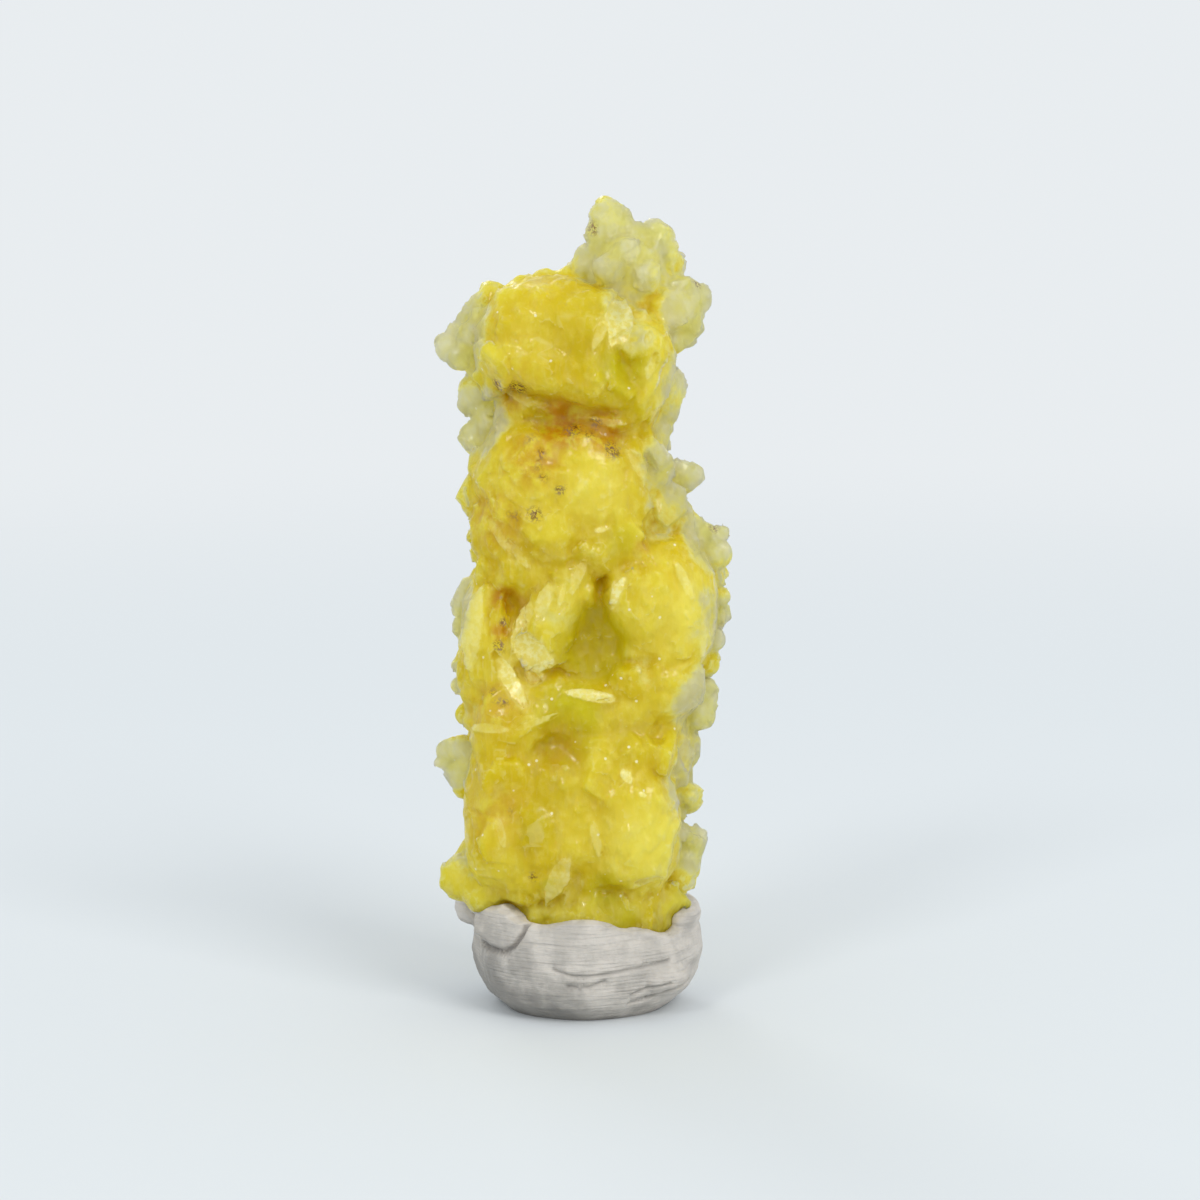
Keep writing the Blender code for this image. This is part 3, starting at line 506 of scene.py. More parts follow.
def tree_of(obj):
    """The mesh as a tree to cast rays at and find near points in, in millimetres."""
    faces = [tuple(face.vertices) for face in obj.data.polygons]
    return BVHTree.FromPolygons(points_of(obj)[0].tolist(), faces)


def move_points(obj, places):
    obj.data.vertices.foreach_set("co", (places * MM).ravel())
    obj.data.update()


def store(obj, name, values):
    attribute = obj.data.attributes.new(name, "FLOAT", "POINT")
    attribute.data.foreach_set("value", np.clip(values, 0.0, 1.0).astype(np.float32))


def smoothstep(low, high, values):
    share = np.clip((values - low) / (high - low), 0.0, 1.0)
    return share * share * (3 - 2 * share)


# ---------------------------------------------------------------- crystals: what the surface carries

# Rays are cast from each point, inwards for the thickness and outwards for hollows, where shade is painted.
LOOK_STEPS = 7
LOOK_SHIFT = 0.03  # they start this far off the skin
GOLDEN_TURN = 2.399963
THICKEST = 14.0
THIN_SPREAD = 0.6
DEEPEST = 7.0
HOLLOW_SPREAD = 1.2
EDGE_HEIGHT = 0.16
GLEAM_FADE = 1.6  # distance over which the gleam of a plate runs from none to full

# Coloured zones: x, y, z, radius, strength.
ZONES = {
    "pale": [
        (5.0, 0.0, 91.4, 9.0, 1.0), (-14.6, 1.8, 81.4, 7.2, 1.0), (-13.2, 3.0, 71.4, 6.4, 1.0),
        (13.6, 0.0, 83.6, 8.0, 1.0), (10.4, -2.0, 76.4, 6.0, 0.7), (11.6, 1.0, 70.0, 5.4, 0.7),
        (11.4, 1.0, 64.4, 6.4, 0.9), (15.0, 2.0, 56.6, 5.6, 0.9), (16.4, 1.4, 47.0, 6.0, 0.75),
        (-14.6, 1.6, 48.0, 5.6, 1.0), (14.4, 0.6, 36.6, 6.4, 0.85), (12.4, 0.6, 29.6, 5.6, 0.75),
        (13.4, 0.4, 20.0, 6.0, 0.8), (-16.0, 1.0, 29.6, 5.0, 1.0), (-13.4, -2.0, 17.4, 4.8, 0.6),
        (12.4, 0.2, 24.6, 4.4, 0.6), (-14.6, 0.4, 40.4, 3.4, 0.7), (-12.8, -1.0, 60.0, 3.4, 0.4),
        (5.6, 5.6, 84.0, 7.0, 0.5), (11.0, -3.4, 40.0, 4.6, 0.45), (8.4, -4.4, 87.0, 4.0, 0.6),
        (-2.6, -7.0, 50.0, 4.6, 0.3), (8.0, -7.0, 42.0, 4.6, 0.25), (15.0, -3.0, 48.0, 7.0, 0.65),
        (13.0, -4.0, 38.6, 7.0, 0.8), (11.4, -5.0, 27.4, 5.4, 0.55), (10.6, -5.0, 20.0, 5.0, 0.45),
        (9.8, -4.0, 60.6, 5.0, 0.6), (9.4, -4.0, 66.6, 5.4, 0.75), (-13.6, -3.0, 37.0, 3.4, 0.4),
    ],
    "olive": [
        (4.2, -6.4, 78.2, 5.2, 1.0), (1.4, -5.0, 45.4, 6.6, 1.0), (-1.6, -7.4, 36.8, 5.6, 1.0),
        (-1.4, -7.0, 35.6, 4.4, 0.5), (3.0, -8.0, 15.8, 3.6, 0.7), (-3.8, -8.4, 16.4, 1.6, 0.9),
        (-6.0, -8.4, 24.0, 4.0, 0.4), (5.0, -8.0, 12.4, 3.0, 0.6), (4.4, -7.0, 57.6, 3.2, 0.5),
    ],
    # real stains under the lip and in the block's gaps, and painted shade on the left sides of the collar,
    # waist and belly
    "orange": [
        (-2.4, -6.6, 71.4, 4.6, 1.0), (2.6, -6.8, 70.6, 4.0, 0.8), (-8.8, -5.0, 74.4, 3.0, 0.6),
        (-5.6, -7.0, 67.0, 4.8, 0.6), (-9.4, -4.4, 60.0, 6.0, 0.55), (-9.2, -5.6, 50.4, 2.2, 1.0),
        (-9.8, -6.4, 46.6, 1.6, 0.8), (-7.8, -6.0, 50.0, 1.6, 0.8), (-10.0, -5.0, 37.0, 5.4, 0.45),
        (-9.6, -6.0, 25.0, 6.0, 0.45), (-7.6, -6.6, 77.0, 4.4, 0.3), (-3.0, -8.4, 33.0, 4.0, 0.35),
        (7.0, -7.0, 57.0, 1.6, 0.5),
    ],
    "deep": [
        (0.0, -8.0, 82.6, 7.0, 0.75), (5.0, -7.6, 74.6, 4.4, 0.5), (-2.4, -8.0, 33.6, 5.4, 0.9),
        (1.4, -5.0, 45.4, 5.4, 1.0), (-4.0, -8.4, 29.0, 4.6, 0.4), (-2.8, -6.0, 71.4, 4.4, 0.8),
        (6.0, -6.6, 34.0, 4.4, 0.5), (-9.0, -6.0, 30.0, 4.6, 0.4), (0.8, -8.0, 88.4, 4.0, 0.4),
    ],
    # a lighter lemon yellow: partly the crystal's own tone, partly painted light on the right of the shoulder
    # and belly
    "lemon_and_light": [
        (11.4, -5.0, 49.0, 7.0, 1.0), (7.4, -7.0, 22.0, 8.0, 1.0), (2.0, -8.6, 63.6, 5.4, 0.7),
        (-5.0, -8.0, 82.0, 5.0, 0.4), (-2.4, -7.0, 49.0, 3.6, 0.6), (9.0, -5.0, 76.0, 3.6, 0.6),
    ],
}
# Places where dark specks gather: radius, then centres.
SPECKS = {
    0.7: [(-14.6, -0.6, 42.6), (-13.6, -2.6, 46.0)],
    0.8: [(-11.2, -3.0, 54.4), (-10.8, -6.8, 39.8), (-9.4, -7.0, 38.4), (13.6, 0.0, 87.4)],
    0.9: [
        (-2.6, -8.4, 63.8), (-12.4, -1.6, 56.6), (-7.2, -8.0, 29.6), (-6.0, -9.0, 17.6),
        (-7.6, -7.2, 63.0), (-6.4, -7.8, 59.6), (-10.6, -5.6, 62.4), (-11.6, -4.0, 58.0),
        (-9.2, -6.4, 47.8), (15.8, 1.4, 58.2),
    ],
    1.0: [(-7.0, -7.0, 65.0), (-12.0, -2.4, 59.6), (-4.6, -8.0, 65.2)],
    1.1: [
        (-2.4, -7.6, 73.2), (-7.4, -7.0, 60.8), (-9.9, -6.8, 45.0), (2.4, -7.2, 70.4), (10.4, 0.2, 94.4),
    ],
    1.2: [
        (0.6, -6.4, 69.6), (1.4, -6.6, 71.4), (-5.4, -7.6, 66.6), (-9.0, -6.6, 51.0), (-8.4, -8.0, 25.4),
        (10.6, -2.0, 89.2), (-5.2, -7.6, 67.8), (-0.2, -7.2, 71.8),
    ],
    1.3: [(-5.8, -6.8, 69.2), (1.4, -0.6, 94.0)],
    1.4: [(-4.4, -7.4, 73.6), (-3.8, -7.2, 72.0), (-8.8, -6.6, 60.8), (-5.6, -8.0, 60.8)],
    1.5: [(-9.6, -5.6, 76.0), (-1.2, -6.6, 70.8)],
    1.6: [(3.6, -7.0, 68.4)],
    1.8: [(-7.6, -6.2, 75.8)],
}


def rays_round(normals, spread, sign):
    """Directions spread round each normal, or its opposite if the sign is -1, with the same turns for all."""
    side = np.cross(normals, np.where(np.abs(normals[:, 2:3]) > 0.8, [[1.0, 0, 0]], [[0, 0, 1.0]]))
    side /= np.linalg.norm(side, axis=1, keepdims=True)
    other = np.cross(normals, side)
    for i in range(LOOK_STEPS):
        lean = spread * math.sqrt(i / (LOOK_STEPS - 1))
        turn = GOLDEN_TURN * i
        sideways = math.cos(turn) * side + math.sin(turn) * other
        yield sign * normals * math.cos(lean) + math.sin(lean) * sideways


def mean_reach(tree, places, normals, spread, furthest, sign):
    """How far rays from each point go before they meet the surface again, as a mean, in millimetres."""
    total = np.zeros(len(places))
    starts = places + normals * (sign * LOOK_SHIFT)
    for ways in rays_round(normals, spread, sign):
        for i, (start, way) in enumerate(zip(starts.tolist(), ways.tolist())):
            distance = tree.ray_cast(start, way, furthest)[3]
            total[i] += furthest if distance is None else distance
    return total / LOOK_STEPS


def zone_strength(places, zones):
    """The strongest of the zones at each point, fading out over each zone's radius."""
    strength = np.zeros(len(places))
    for *centre, radius, weight in zones:
        distance = np.linalg.norm(places - np.array(centre), axis=1)
        strength = np.maximum(strength, weight * (1 - smoothstep(0.35 * radius, radius, distance)))
    return strength


def gleam_of(places, normals, plates):
    """Above 0.5 inside the flat faces of the gleaming plates, and how strongly the nearest one gleams: the
    masks of their painted highlight.
    """
    gleam = np.zeros(len(places))
    strongest = np.zeros(len(places))
    for centre, half_width, half_height, thickness, facing, roll, strength in plates:
        turn = np.array(plate_turn(facing, roll))
        local = (places - np.array(centre)) @ turn
        inwards = (1 - plate_share(local, half_width, half_height)) * half_width
        inwards = np.minimum(inwards, 1.0 - np.abs(local[:, 2] - thickness / 2))
        inwards = np.minimum(inwards, 2.0 * (normals @ turn[:, 2] - 0.5))
        here = np.clip(0.5 + inwards / GLEAM_FADE, 0.0, 1.0)
        strongest = np.where(here > gleam, strength, strongest)
        gleam = np.maximum(gleam, here)
    return gleam, strongest


def edge_of(obj, places, normals):
    """How far each point stands out from its neighbours: above 0.5 on edges, below it in grooves."""
    ends = np.empty(len(obj.data.edges) * 2, np.int32)
    obj.data.edges.foreach_get("vertices", ends)
    ends = ends.reshape(-1, 2)
    total = np.zeros_like(places)
    count = np.zeros(len(places))
    for here, there in ((0, 1), (1, 0)):
        np.add.at(total, ends[:, here], places[ends[:, there]])
        np.add.at(count, ends[:, here], 1)
    out = np.einsum("ij,ij->i", places - total / count[:, None], normals)
    return 0.5 + out / EDGE_HEIGHT


def sculpt(obj, plates):
    """Shapes the skin: flat faces, hollows, ridges, and the plates' faces last."""
    move_points(obj, facet(*points_of(obj)))
    move_points(obj, press(points_of(obj)[0]))
    move_points(obj, ridge(*points_of(obj)))
    move_points(obj, stamp(*points_of(obj), plates))


def build_brucite():
    bm = masses()
    tree = BVHTree.FromBMesh(bm)
    plates = placed_plates(tree)
    for plate in crust(tree) + [plate[:-1] for plate in plates]:
        add_plate(bm, *plate)
    obj = solid("brucite_crystals", bm)
    fuse(obj, BRUCITE_VOXEL, 4)
    sculpt(obj, plates)
    thin_out(obj, BRUCITE_TRIANGLES)
    obj.data.shade_smooth()
    places, normals = points_of(obj)
    tree = tree_of(obj)
    thickness = mean_reach(tree, places, normals, THIN_SPREAD, THICKEST, -1)
    reach = mean_reach(tree, places, normals, HOLLOW_SPREAD, DEEPEST, 1)
    store(obj, "thin", 1 - smoothstep(2.0, 7.5, thickness))
    # painted shade: how shut in each point lies, which darkens the hollows
    store(obj, "hollow", 1 - smoothstep(0.40 * DEEPEST, 0.95 * DEEPEST, reach))
    store(obj, "edge", edge_of(obj, places, normals))
    behind = places * np.array([1.0, -1.0, 1.0])  # the back is coloured like the front
    for name, zones in ZONES.items():
        store(obj, name, np.maximum(zone_strength(places, zones), zone_strength(behind, zones)))
    specks = [(*centre, radius, 1.0) for radius, centres in SPECKS.items() for centre in centres]
    store(obj, "specks", zone_strength(places, specks))
    gleam, strength = gleam_of(places, normals, plates)
    store(obj, "gleam", gleam)
    store(obj, "gleam_strength", strength)
    obj.data.materials.append(brucite_material())
    return obj


# ---------------------------------------------------------------- material helpers

class Nodes:
    """Short words for building a material's nodes."""

    def __init__(self, name):
        self.material = bpy.data.materials.new(name)
        self.material.use_nodes = True
        self.tree = self.material.node_tree
        self.shader = self.tree.nodes["Principled BSDF"]
        self.place = self.add("ShaderNodeTexCoord").outputs["Object"]
        self.place = self.mapped((1 / MM, 1 / MM, 1 / MM), (0.0, 0.0, 0.0))  # in millimetres

    def add(self, kind, **settings):
        node = self.tree.nodes.new(kind)
        for key, value in settings.items():
            setattr(node, key, value)
        return node

    def put(self, value, socket):
        """A link if the value is a socket, otherwise a constant."""
        if isinstance(value, bpy.types.NodeSocket):
            self.tree.links.new(value, socket)
        elif isinstance(value, tuple) and socket.type == "RGBA":
            socket.default_value = (*value, 1.0)
        else:
            socket.default_value = value

    def fill(self, node, values):
        """Puts values into inputs, each named by its name or number."""
        for name, value in values.items():
            self.put(value, node.inputs[name])
        return node

    def attribute(self, name):
        return self.add("ShaderNodeAttribute", attribute_name=name).outputs["Fac"]

    def math(self, operation, *values):
        return self.fill(self.add("ShaderNodeMath", operation=operation), dict(enumerate(values))).outputs[0]

    def times(self, first, second):
        return self.math("MULTIPLY", first, second)

    def ramp(self, value, low, high, to_low=0.0, to_high=1.0):
        """A smooth step that rises or falls between low and high."""
        node = self.add("ShaderNodeMapRange", interpolation_type="SMOOTHSTEP")
        return self.fill(node, dict(enumerate((value, low, high, to_low, to_high)))).outputs[0]

    def mix(self, factor, first, second):
        node = self.add("ShaderNodeMix", data_type="RGBA")
        return self.fill(node, {"Factor": factor, 6: first, 7: second}).outputs[2]

    def noise(self, scale, detail=3.0, roughness=0.5, place=None):
        values = {"Vector": place or self.place, "Scale": scale, "Detail": detail, "Roughness": roughness}
        return self.fill(self.add("ShaderNodeTexNoise"), values).outputs["Fac"]

    def cells(self, scale, output="Distance", feature="F1", place=None):
        node = self.add("ShaderNodeTexVoronoi", feature=feature)
        return self.fill(node, {"Vector": place or self.place, "Scale": scale}).outputs[output]

    def mapped(self, scale, turn):
        """The place, turned and stretched."""
        values = {"Rotation": turn, "Scale": scale, "Vector": self.place}
        return self.fill(self.add("ShaderNodeMapping"), values).outputs["Vector"]

    def vector(self, operation, values):
        return self.fill(self.add("ShaderNodeVectorMath", operation=operation), values)

    def moved(self, start, shift, by):
        """start plus by times shift."""
        scaled = self.vector("SCALE", {0: shift, "Scale": by})
        return self.vector("ADD", {0: start, 1: scaled.outputs[0]}).outputs[0]

    def warped(self, place, amount, scale):
        """The place, moved about by a noise so that cells lose their straight edges."""
        node = self.fill(self.add("ShaderNodeTexNoise"), {"Vector": place, "Scale": scale})
        return self.moved(place, node.outputs["Color"], amount)

    def facets(self, scale, tilt, place, normal=None):
        """The surface's normal, tilted a little at random from one small crystal face to the next."""
        split = self.vector("SUBTRACT", {0: self.cells(scale, "Color", place=place), 1: (0.5, 0.5, 0.5)})
        normal = normal or self.add("ShaderNodeNewGeometry").outputs["Normal"]
        return self.vector("NORMALIZE", {0: self.moved(normal, split.outputs[0], 2 * tilt)}).outputs[0]

    def bump(self, height, strength, distance, normal=None):
        values = {"Strength": strength, "Distance": distance * MM, "Height": height}
        if normal is not None:
            values["Normal"] = normal
        return self.fill(self.add("ShaderNodeBump"), values).outputs["Normal"]


# Colours of the crystals, as linear light.
BODY = (0.64, 0.475, 0.004)
BODY_LIGHT = (0.735, 0.595, 0.034)
# partly painted light
LEMON_AND_LIGHT = (0.80, 0.68, 0.08)
OLIVE = (0.56, 0.49, 0.001)
# painted shade in the hollows
HOLLOW_SHADE = (0.62, 0.45, 0.001)
DEEP = (0.57, 0.435, 0.001)
CLOUD = (0.88, 0.79, 0.16)
STREAK = (0.88, 0.80, 0.24)
RIM = (0.81, 0.72, 0.13)
PALE = (0.79, 0.725, 0.20)
PALEST = (0.785, 0.735, 0.39)
SEAM = (0.70, 0.62, 0.16)
# painted highlight on raised edges
EDGE_HIGHLIGHT = (0.88, 0.82, 0.38)
# stains, and painted shade on the left sides
STAIN_AND_SHADE = (0.52, 0.21, 0.001)
# painted highlight: small glints
SPARK_HIGHLIGHT = (0.94, 0.90, 0.66)
# painted glow and painted highlight on the gleaming plates' faces
PAINTED_GLOW = (0.88, 0.76, 0.22)
FACE_HIGHLIGHT = (0.87, 0.74, 0.12)
FACE_HIGHLIGHT_BRIGHT = (0.96, 0.88, 0.36)
SPECK = (0.15, 0.045, 0.004)
SPECK_LIGHT = (0.25, 0.14, 0.09)


def brucite_material():
    n = Nodes("brucite")
    leaning = n.mapped((1.0, 1.0, 0.5), (0.0, 0.45, 0.0))
    warped = n.warped(leaning, 1.2, 0.5)
    cloud = n.noise(0.15, 3.0)
    fine_cloud = n.noise(0.75, 4.0, 0.6)
    streaks = n.noise(1.0, 3.0, 0.55, n.mapped((1.8, 1.2, 0.45), (0.0, 0.5, 0.0)))
    haze = n.noise(0.33, 4.0, 0.6)

    pale = n.math("MAXIMUM", n.attribute("pale"), n.times(n.attribute("thin"), 0.7))
    pale = n.ramp(n.math("ADD", pale, n.ramp(haze, 0.3, 0.7, -0.22, 0.22)), 0.12, 0.88)
    olive = n.attribute("olive")
    hollow = n.attribute("hollow")
    deep = n.attribute("deep")
    body = n.mix(n.ramp(cloud, 0.36, 0.64), BODY, BODY_LIGHT)
    # lighter lemon yellow, partly painted light on the right sides
    body = n.mix(n.attribute("lemon_and_light"), body, LEMON_AND_LIGHT)
    body = n.mix(n.times(olive, 0.85), body, OLIVE)
    # painted shade: darker, deeper yellow where the skin lies shut in
    body = n.mix(n.times(hollow, 0.85), body, HOLLOW_SHADE)
    body = n.mix(n.times(deep, 0.9), body, DEEP)
    # the light clouds and streaks fade in the deep and olive zones and in the painted shade of the hollows
    deep_olive_and_shade = n.math("MAXIMUM", deep, n.math("MAXIMUM", hollow, olive))
    cloud_share = n.math("SUBTRACT", 1.0, n.times(deep_olive_and_shade, 0.8))
    body = n.mix(n.times(n.ramp(fine_cloud, 0.48, 0.72, 0.0, 0.30), cloud_share), body, CLOUD)
    body = n.mix(n.times(n.ramp(streaks, 0.50, 0.74, 0.0, 0.14), cloud_share), body, STREAK)
    seams = n.ramp(n.cells(0.7, feature="DISTANCE_TO_EDGE", place=warped), 0.0, 0.30)
    paleness = n.mix(n.ramp(haze, 0.40, 0.62), PALE, PALEST)
    paleness = n.mix(n.ramp(seams, 0.0, 1.0, 0.30, 0.0), paleness, SEAM)
    colour = n.mix(n.ramp(pale, 0.05, 0.60), body, RIM)
    colour = n.mix(n.ramp(pale, 0.25, 1.0), colour, paleness)
    # painted highlight on the raised edges
    colour = n.mix(n.ramp(n.attribute("edge"), 0.64, 1.0, 0.0, 0.22), colour, EDGE_HIGHLIGHT)
    # stains, partly painted shade on the left sides
    stain_and_shade = n.times(n.attribute("orange"), n.ramp(n.noise(0.55, 5.0, 0.65), 0.33, 0.58))
    colour = n.mix(n.times(stain_and_shade, 0.9), colour, STAIN_AND_SHADE)

    # painted highlight: small glints scattered over the surface
    split = n.fill(n.add("ShaderNodeSeparateColor"), {0: n.cells(1.1, "Color")})
    spark_highlight = n.times(n.ramp(n.cells(1.1), 0.24, 0.14), n.ramp(split.outputs[0], 0.955, 0.97))
    colour = n.mix(n.times(spark_highlight, 0.8), colour, SPARK_HIGHLIGHT)
    strength = n.attribute("gleam_strength")
    ragged = n.math("ADD", n.attribute("gleam"), n.ramp(streaks, 0.3, 0.7, -0.05, 0.05))
    # painted highlight: the plates' faces are painted pale, with a painted glow round them
    face = n.times(n.ramp(ragged, 0.47, 0.53), strength)
    colour = n.mix(n.times(n.ramp(ragged, 0.15, 0.60, 0.0, 0.35), strength), colour, PAINTED_GLOW)
    painted_highlight = n.mix(n.ramp(n.noise(1.5, 4.0, 0.6), 0.40, 0.62), FACE_HIGHLIGHT, FACE_HIGHLIGHT_BRIGHT)
    colour = n.mix(n.times(face, 0.85), colour, painted_highlight)
    speck = n.times(n.attribute("specks"), n.ramp(n.noise(3.0, 5.0, 0.7), 0.48, 0.52))
    colour = n.mix(speck, colour, n.mix(n.ramp(n.noise(0.9), 0.4, 0.6), SPECK, SPECK_LIGHT))

    grain = n.noise(2.2, 6.0, 0.62)
    faces = n.facets(1.5, 0.14, warped, n.facets(0.6, 0.20, warped))
    crackle = n.times(n.times(seams, pale), 0.45)
    height = n.math("ADD", n.math("ADD", grain, crackle), n.times(streaks, 0.6))
    rough = n.ramp(grain, 0.3, 0.7, 0.35, 0.46)
    glint = n.ramp(n.noise(0.8, 4.0, 0.6, leaning), 0.52, 0.62, 0.10, 0.75)
    n.fill(n.shader, {
        "Base Color": colour,
        "Normal": n.bump(height, 0.35, 0.07, faces),
        "Roughness": n.math("SUBTRACT", rough, n.times(face, 0.05)),
        "Transmission Weight": n.ramp(pale, 0.0, 1.0, 0.20, 0.46),
        "IOR": 1.42,
        "Specular IOR Level": 0.12,
        "Coat Weight": n.math("MAXIMUM", n.times(face, 0.9), glint),
        "Coat Roughness": 0.12,
        "Subsurface Weight": 0.75,
        "Subsurface Radius": (1.0, 0.95, 0.75),
        "Subsurface Scale": 12.0 * MM,
    })
    return n.material


# ---------------------------------------------------------------- putty

PUTTY_VOXEL = 0.17
PUTTY_TRIANGLES = 150000
WAD_CENTRE = (0.2, 0.2)
WAD_HALF = (13.9, 12.0)
FOOT_HALF = (8.2, 7.0)
FOOT_SPARE = 1.2
GIRTH_HEIGHT = 6.6
# Heights of the rim, every 30 degrees from +X.
RIM_HEIGHTS = [12.2, 12.4, 12.8, 13.0, 13.2, 13.2, 12.8, 12.4, 12.0, 12.9, 11.3, 9.9]
RIM_ROUND = 1.5
WAD_STEPS = 180
WELL_FLOOR = 4.0
WAVE_HEIGHT = 0.22
DARK_CREASE = 0.5  # a crease this deep gets the darkest painted shade
ROOT_END = 4.6  # no crystal reaches lower
PRINT_GAP = 0.04  # the putty's skin stays this far off the crystals that it is pressed round
# Folds of the wad: centre, half sizes, lean about y in degrees.
FOLDS = {
    "rear_lobe": ((-13.4, 3.2, 11.5), (2.3, 3.2, 2.5), 0),
    "raised_corner": ((11.8, 1.0, 10.8), (2.6, 4.6, 2.2), -20),
    "low_roll": ((9.0, -3.2, 5.0), (4.2, 6.4, 2.8), 8),
}
# The folded flap, a flat sheet: centre, half width, half height, thickness, facing, roll.
FLAP = ((-9.4, -5.7, 11.05), 3.85, 2.8, 3.4, (-0.60, -0.79, 0.12), -4)
# Creases pressed into the wad: points as (angle round it in degrees from +X, height), width and depth.
CREASES = {
    "under_flap": ([(200, 8.7), (212, 8.4), (226, 8.4), (232, 9.2), (236, 10.8), (237, 12.0)], 0.30, 0.70),
    "long_crack": ([(255, 7.0), (264, 6.4), (272, 6.3), (285, 6.6), (300, 6.8), (318, 7.2)], 0.22, 0.35),
    "pinch": ([(262, 5.0), (272, 4.9), (280, 5.6)], 0.25, 0.35),
    "right_crack": ([(296, 3.4), (306, 4.2), (314, 4.6)], 0.2, 0.35),
    "roll_line": ([(296, 2.2), (310, 2.9), (330, 4.4)], 0.25, 0.45),
}

# Colours of the putty, as linear light.
PUTTY = (0.45, 0.42, 0.38)
PUTTY_LIGHT = (0.59, 0.55, 0.50)
# painted shade towards the lower left
LOWER_LEFT_SHADE = (0.20, 0.19, 0.175)
# painted shade in the creases
CREASE_SHADE = (0.16, 0.145, 0.13)
# painted shade in fold-line grooves
LINE_SHADE = (0.30, 0.28, 0.26)
GRIT = (0.20, 0.18, 0.16)


def rim_height(angle):
    """Height of the wad's rim at an angle round it, smooth between the table's values."""
    place = (angle / (2 * math.pi)) % 1.0 * len(RIM_HEIGHTS)
    i = int(place)
    share = smoothstep(0.0, 1.0, place - i)
    return RIM_HEIGHTS[i] * (1 - share) + RIM_HEIGHTS[(i + 1) % len(RIM_HEIGHTS)] * share


def wad_profile(angle):
    """(share of the plan's half size, height) from above the foot round the girth and down into the well."""
    rim = rim_height(angle)
    swell = 1.0 + 0.03 * math.sin(3 * angle + 0.8) + 0.015 * math.sin(7 * angle)
    lip = 0.95 * swell
    crest = rim - RIM_ROUND
    side = [(0.88 * swell, 1.9), (0.96 * swell, 3.8), (swell, GIRTH_HEIGHT)]
    side += [(0.985 * swell, 0.55 * rim + 2.6)]
    edge = [(lip, crest), (lip - 0.035, rim - 0.4), (lip - 0.10, rim), (lip - 0.18, rim - 0.3)]
    well = [(0.60, rim - 2.0), (0.52, 8.0), (0.40, WELL_FLOOR + 0.8)]
    return side + edge + well


def wad_body():
    """The wad: columns of points from the foot over the rim and down to the floor of its well."""
    bm = bmesh.new()
    shift = Vector((*WAD_CENTRE, 0.0))
    columns = []
    for step in range(WAD_STEPS):
        angle = 2 * math.pi * step / WAD_STEPS
        across, deep = math.cos(angle), math.sin(angle)
        column = [Vector((across * FOOT_HALF[0], deep * FOOT_HALF[1], -FOOT_SPARE))]
        for share, height in wad_profile(angle):
            column.append(Vector((across * WAD_HALF[0] * share, deep * WAD_HALF[1] * share, height)))
        columns.append([bm.verts.new(point + shift) for point in column])
    floor = bm.verts.new(shift + Vector((0.0, 0.0, WELL_FLOOR)))
    for here, there in zip(columns, columns[1:] + columns[:1]):
        for i in range(len(here) - 1):
            bm.faces.new((here[i], there[i], there[i + 1], here[i + 1]))
        bm.faces.new((here[-1], there[-1], floor))
    bm.faces.new([column[0] for column in columns])
    return bm


def cut_foot(obj):
    """Cuts off what lies below z = 0 and closes the cut with one flat face."""
    with edited(obj) as bm:
        every = bm.verts[:] + bm.edges[:] + bm.faces[:]
        bmesh.ops.bisect_plane(bm, geom=every, plane_co=(0, 0, 0), plane_no=(0, 0, -1), clear_outer=True)
        bmesh.ops.holes_fill(bm, edges=[edge for edge in bm.edges if edge.is_boundary], sides=0)
        bmesh.ops.triangulate(bm, faces=[face for face in bm.faces if len(face.verts) > 3])


def crease_depth(places):
    """How deep the creases cut at each point of the wad's outside."""
    shift = np.array([*WAD_CENTRE, 0.0])
    local = places - shift
    angles = np.degrees(np.arctan2(local[:, 1] / WAD_HALF[1], local[:, 0] / WAD_HALF[0])) % 360
    girth = np.radians(1.0) * sum(WAD_HALF) / 2  # millimetres along the side for one degree
    depth = np.zeros(len(places))
    for points, width, deepest in CREASES.values():
        nearest = np.full(len(places), 1e9)
        for (a0, h0), (a1, h1) in zip(points, points[1:]):
            along = np.array([(a1 - a0) * girth, h1 - h0])
            offset = np.stack([(angles - a0) * girth, places[:, 2] - h0], axis=1)
            share = np.clip(offset @ along / (along @ along), 0.0, 1.0)
            nearest = np.minimum(nearest, np.linalg.norm(offset - share[:, None] * along, axis=1))
        depth = np.maximum(depth, deepest * np.exp(-(nearest / width) ** 2))
    outside = smoothstep(0.80, 0.90, np.hypot(local[:, 0] / WAD_HALF[0], local[:, 1] / WAD_HALF[1]))
    return depth * outside


def press_round(obj, tree):
    """Pushes the putty's skin out of the crystals, so that it lies against them."""
    places, _ = points_of(obj)
    moved = places.copy()
    for i, place in enumerate(places.tolist()):
        near, normal, _, distance = tree.find_nearest(place)
        side = (Vector(place) - near).dot(normal)
        if place[2] > ROOT_END and (distance < PRINT_GAP or side < -0.5 * distance):
            moved[i] = near + normal * PRINT_GAP
    move_points(obj, moved)


def build_putty(brucite):
    bm = wad_body()
    for name, (centre, half, lean) in FOLDS.items():
        add_lump(bm, name, centre, half, lean, 2.0, 0.05, 4)
    add_plate(bm, *FLAP)
    obj = solid("putty_wad", bm)
    fuse(obj, PUTTY_VOXEL, 5)
    cut_foot(obj)
    thin_out(obj, PUTTY_TRIANGLES)
    places, normals = points_of(obj)
    creases = crease_depth(places)
    points = [Vector(place) for place in places.tolist()]
    waves = np.array([noise.noise(point * 0.35) + 0.4 * noise.noise(point * 1.1) for point in points])
    lift = (WAVE_HEIGHT * waves - creases) * smoothstep(0.1, 0.8, places[:, 2])
    move_points(obj, places + normals * lift[:, None])
    press_round(obj, tree_of(brucite))
    obj.data.shade_smooth()
    # painted shade: how dark each crease is painted
    store(obj, "crease_shade", creases / DARK_CREASE)
    obj.data.materials.append(putty_material())
    return obj


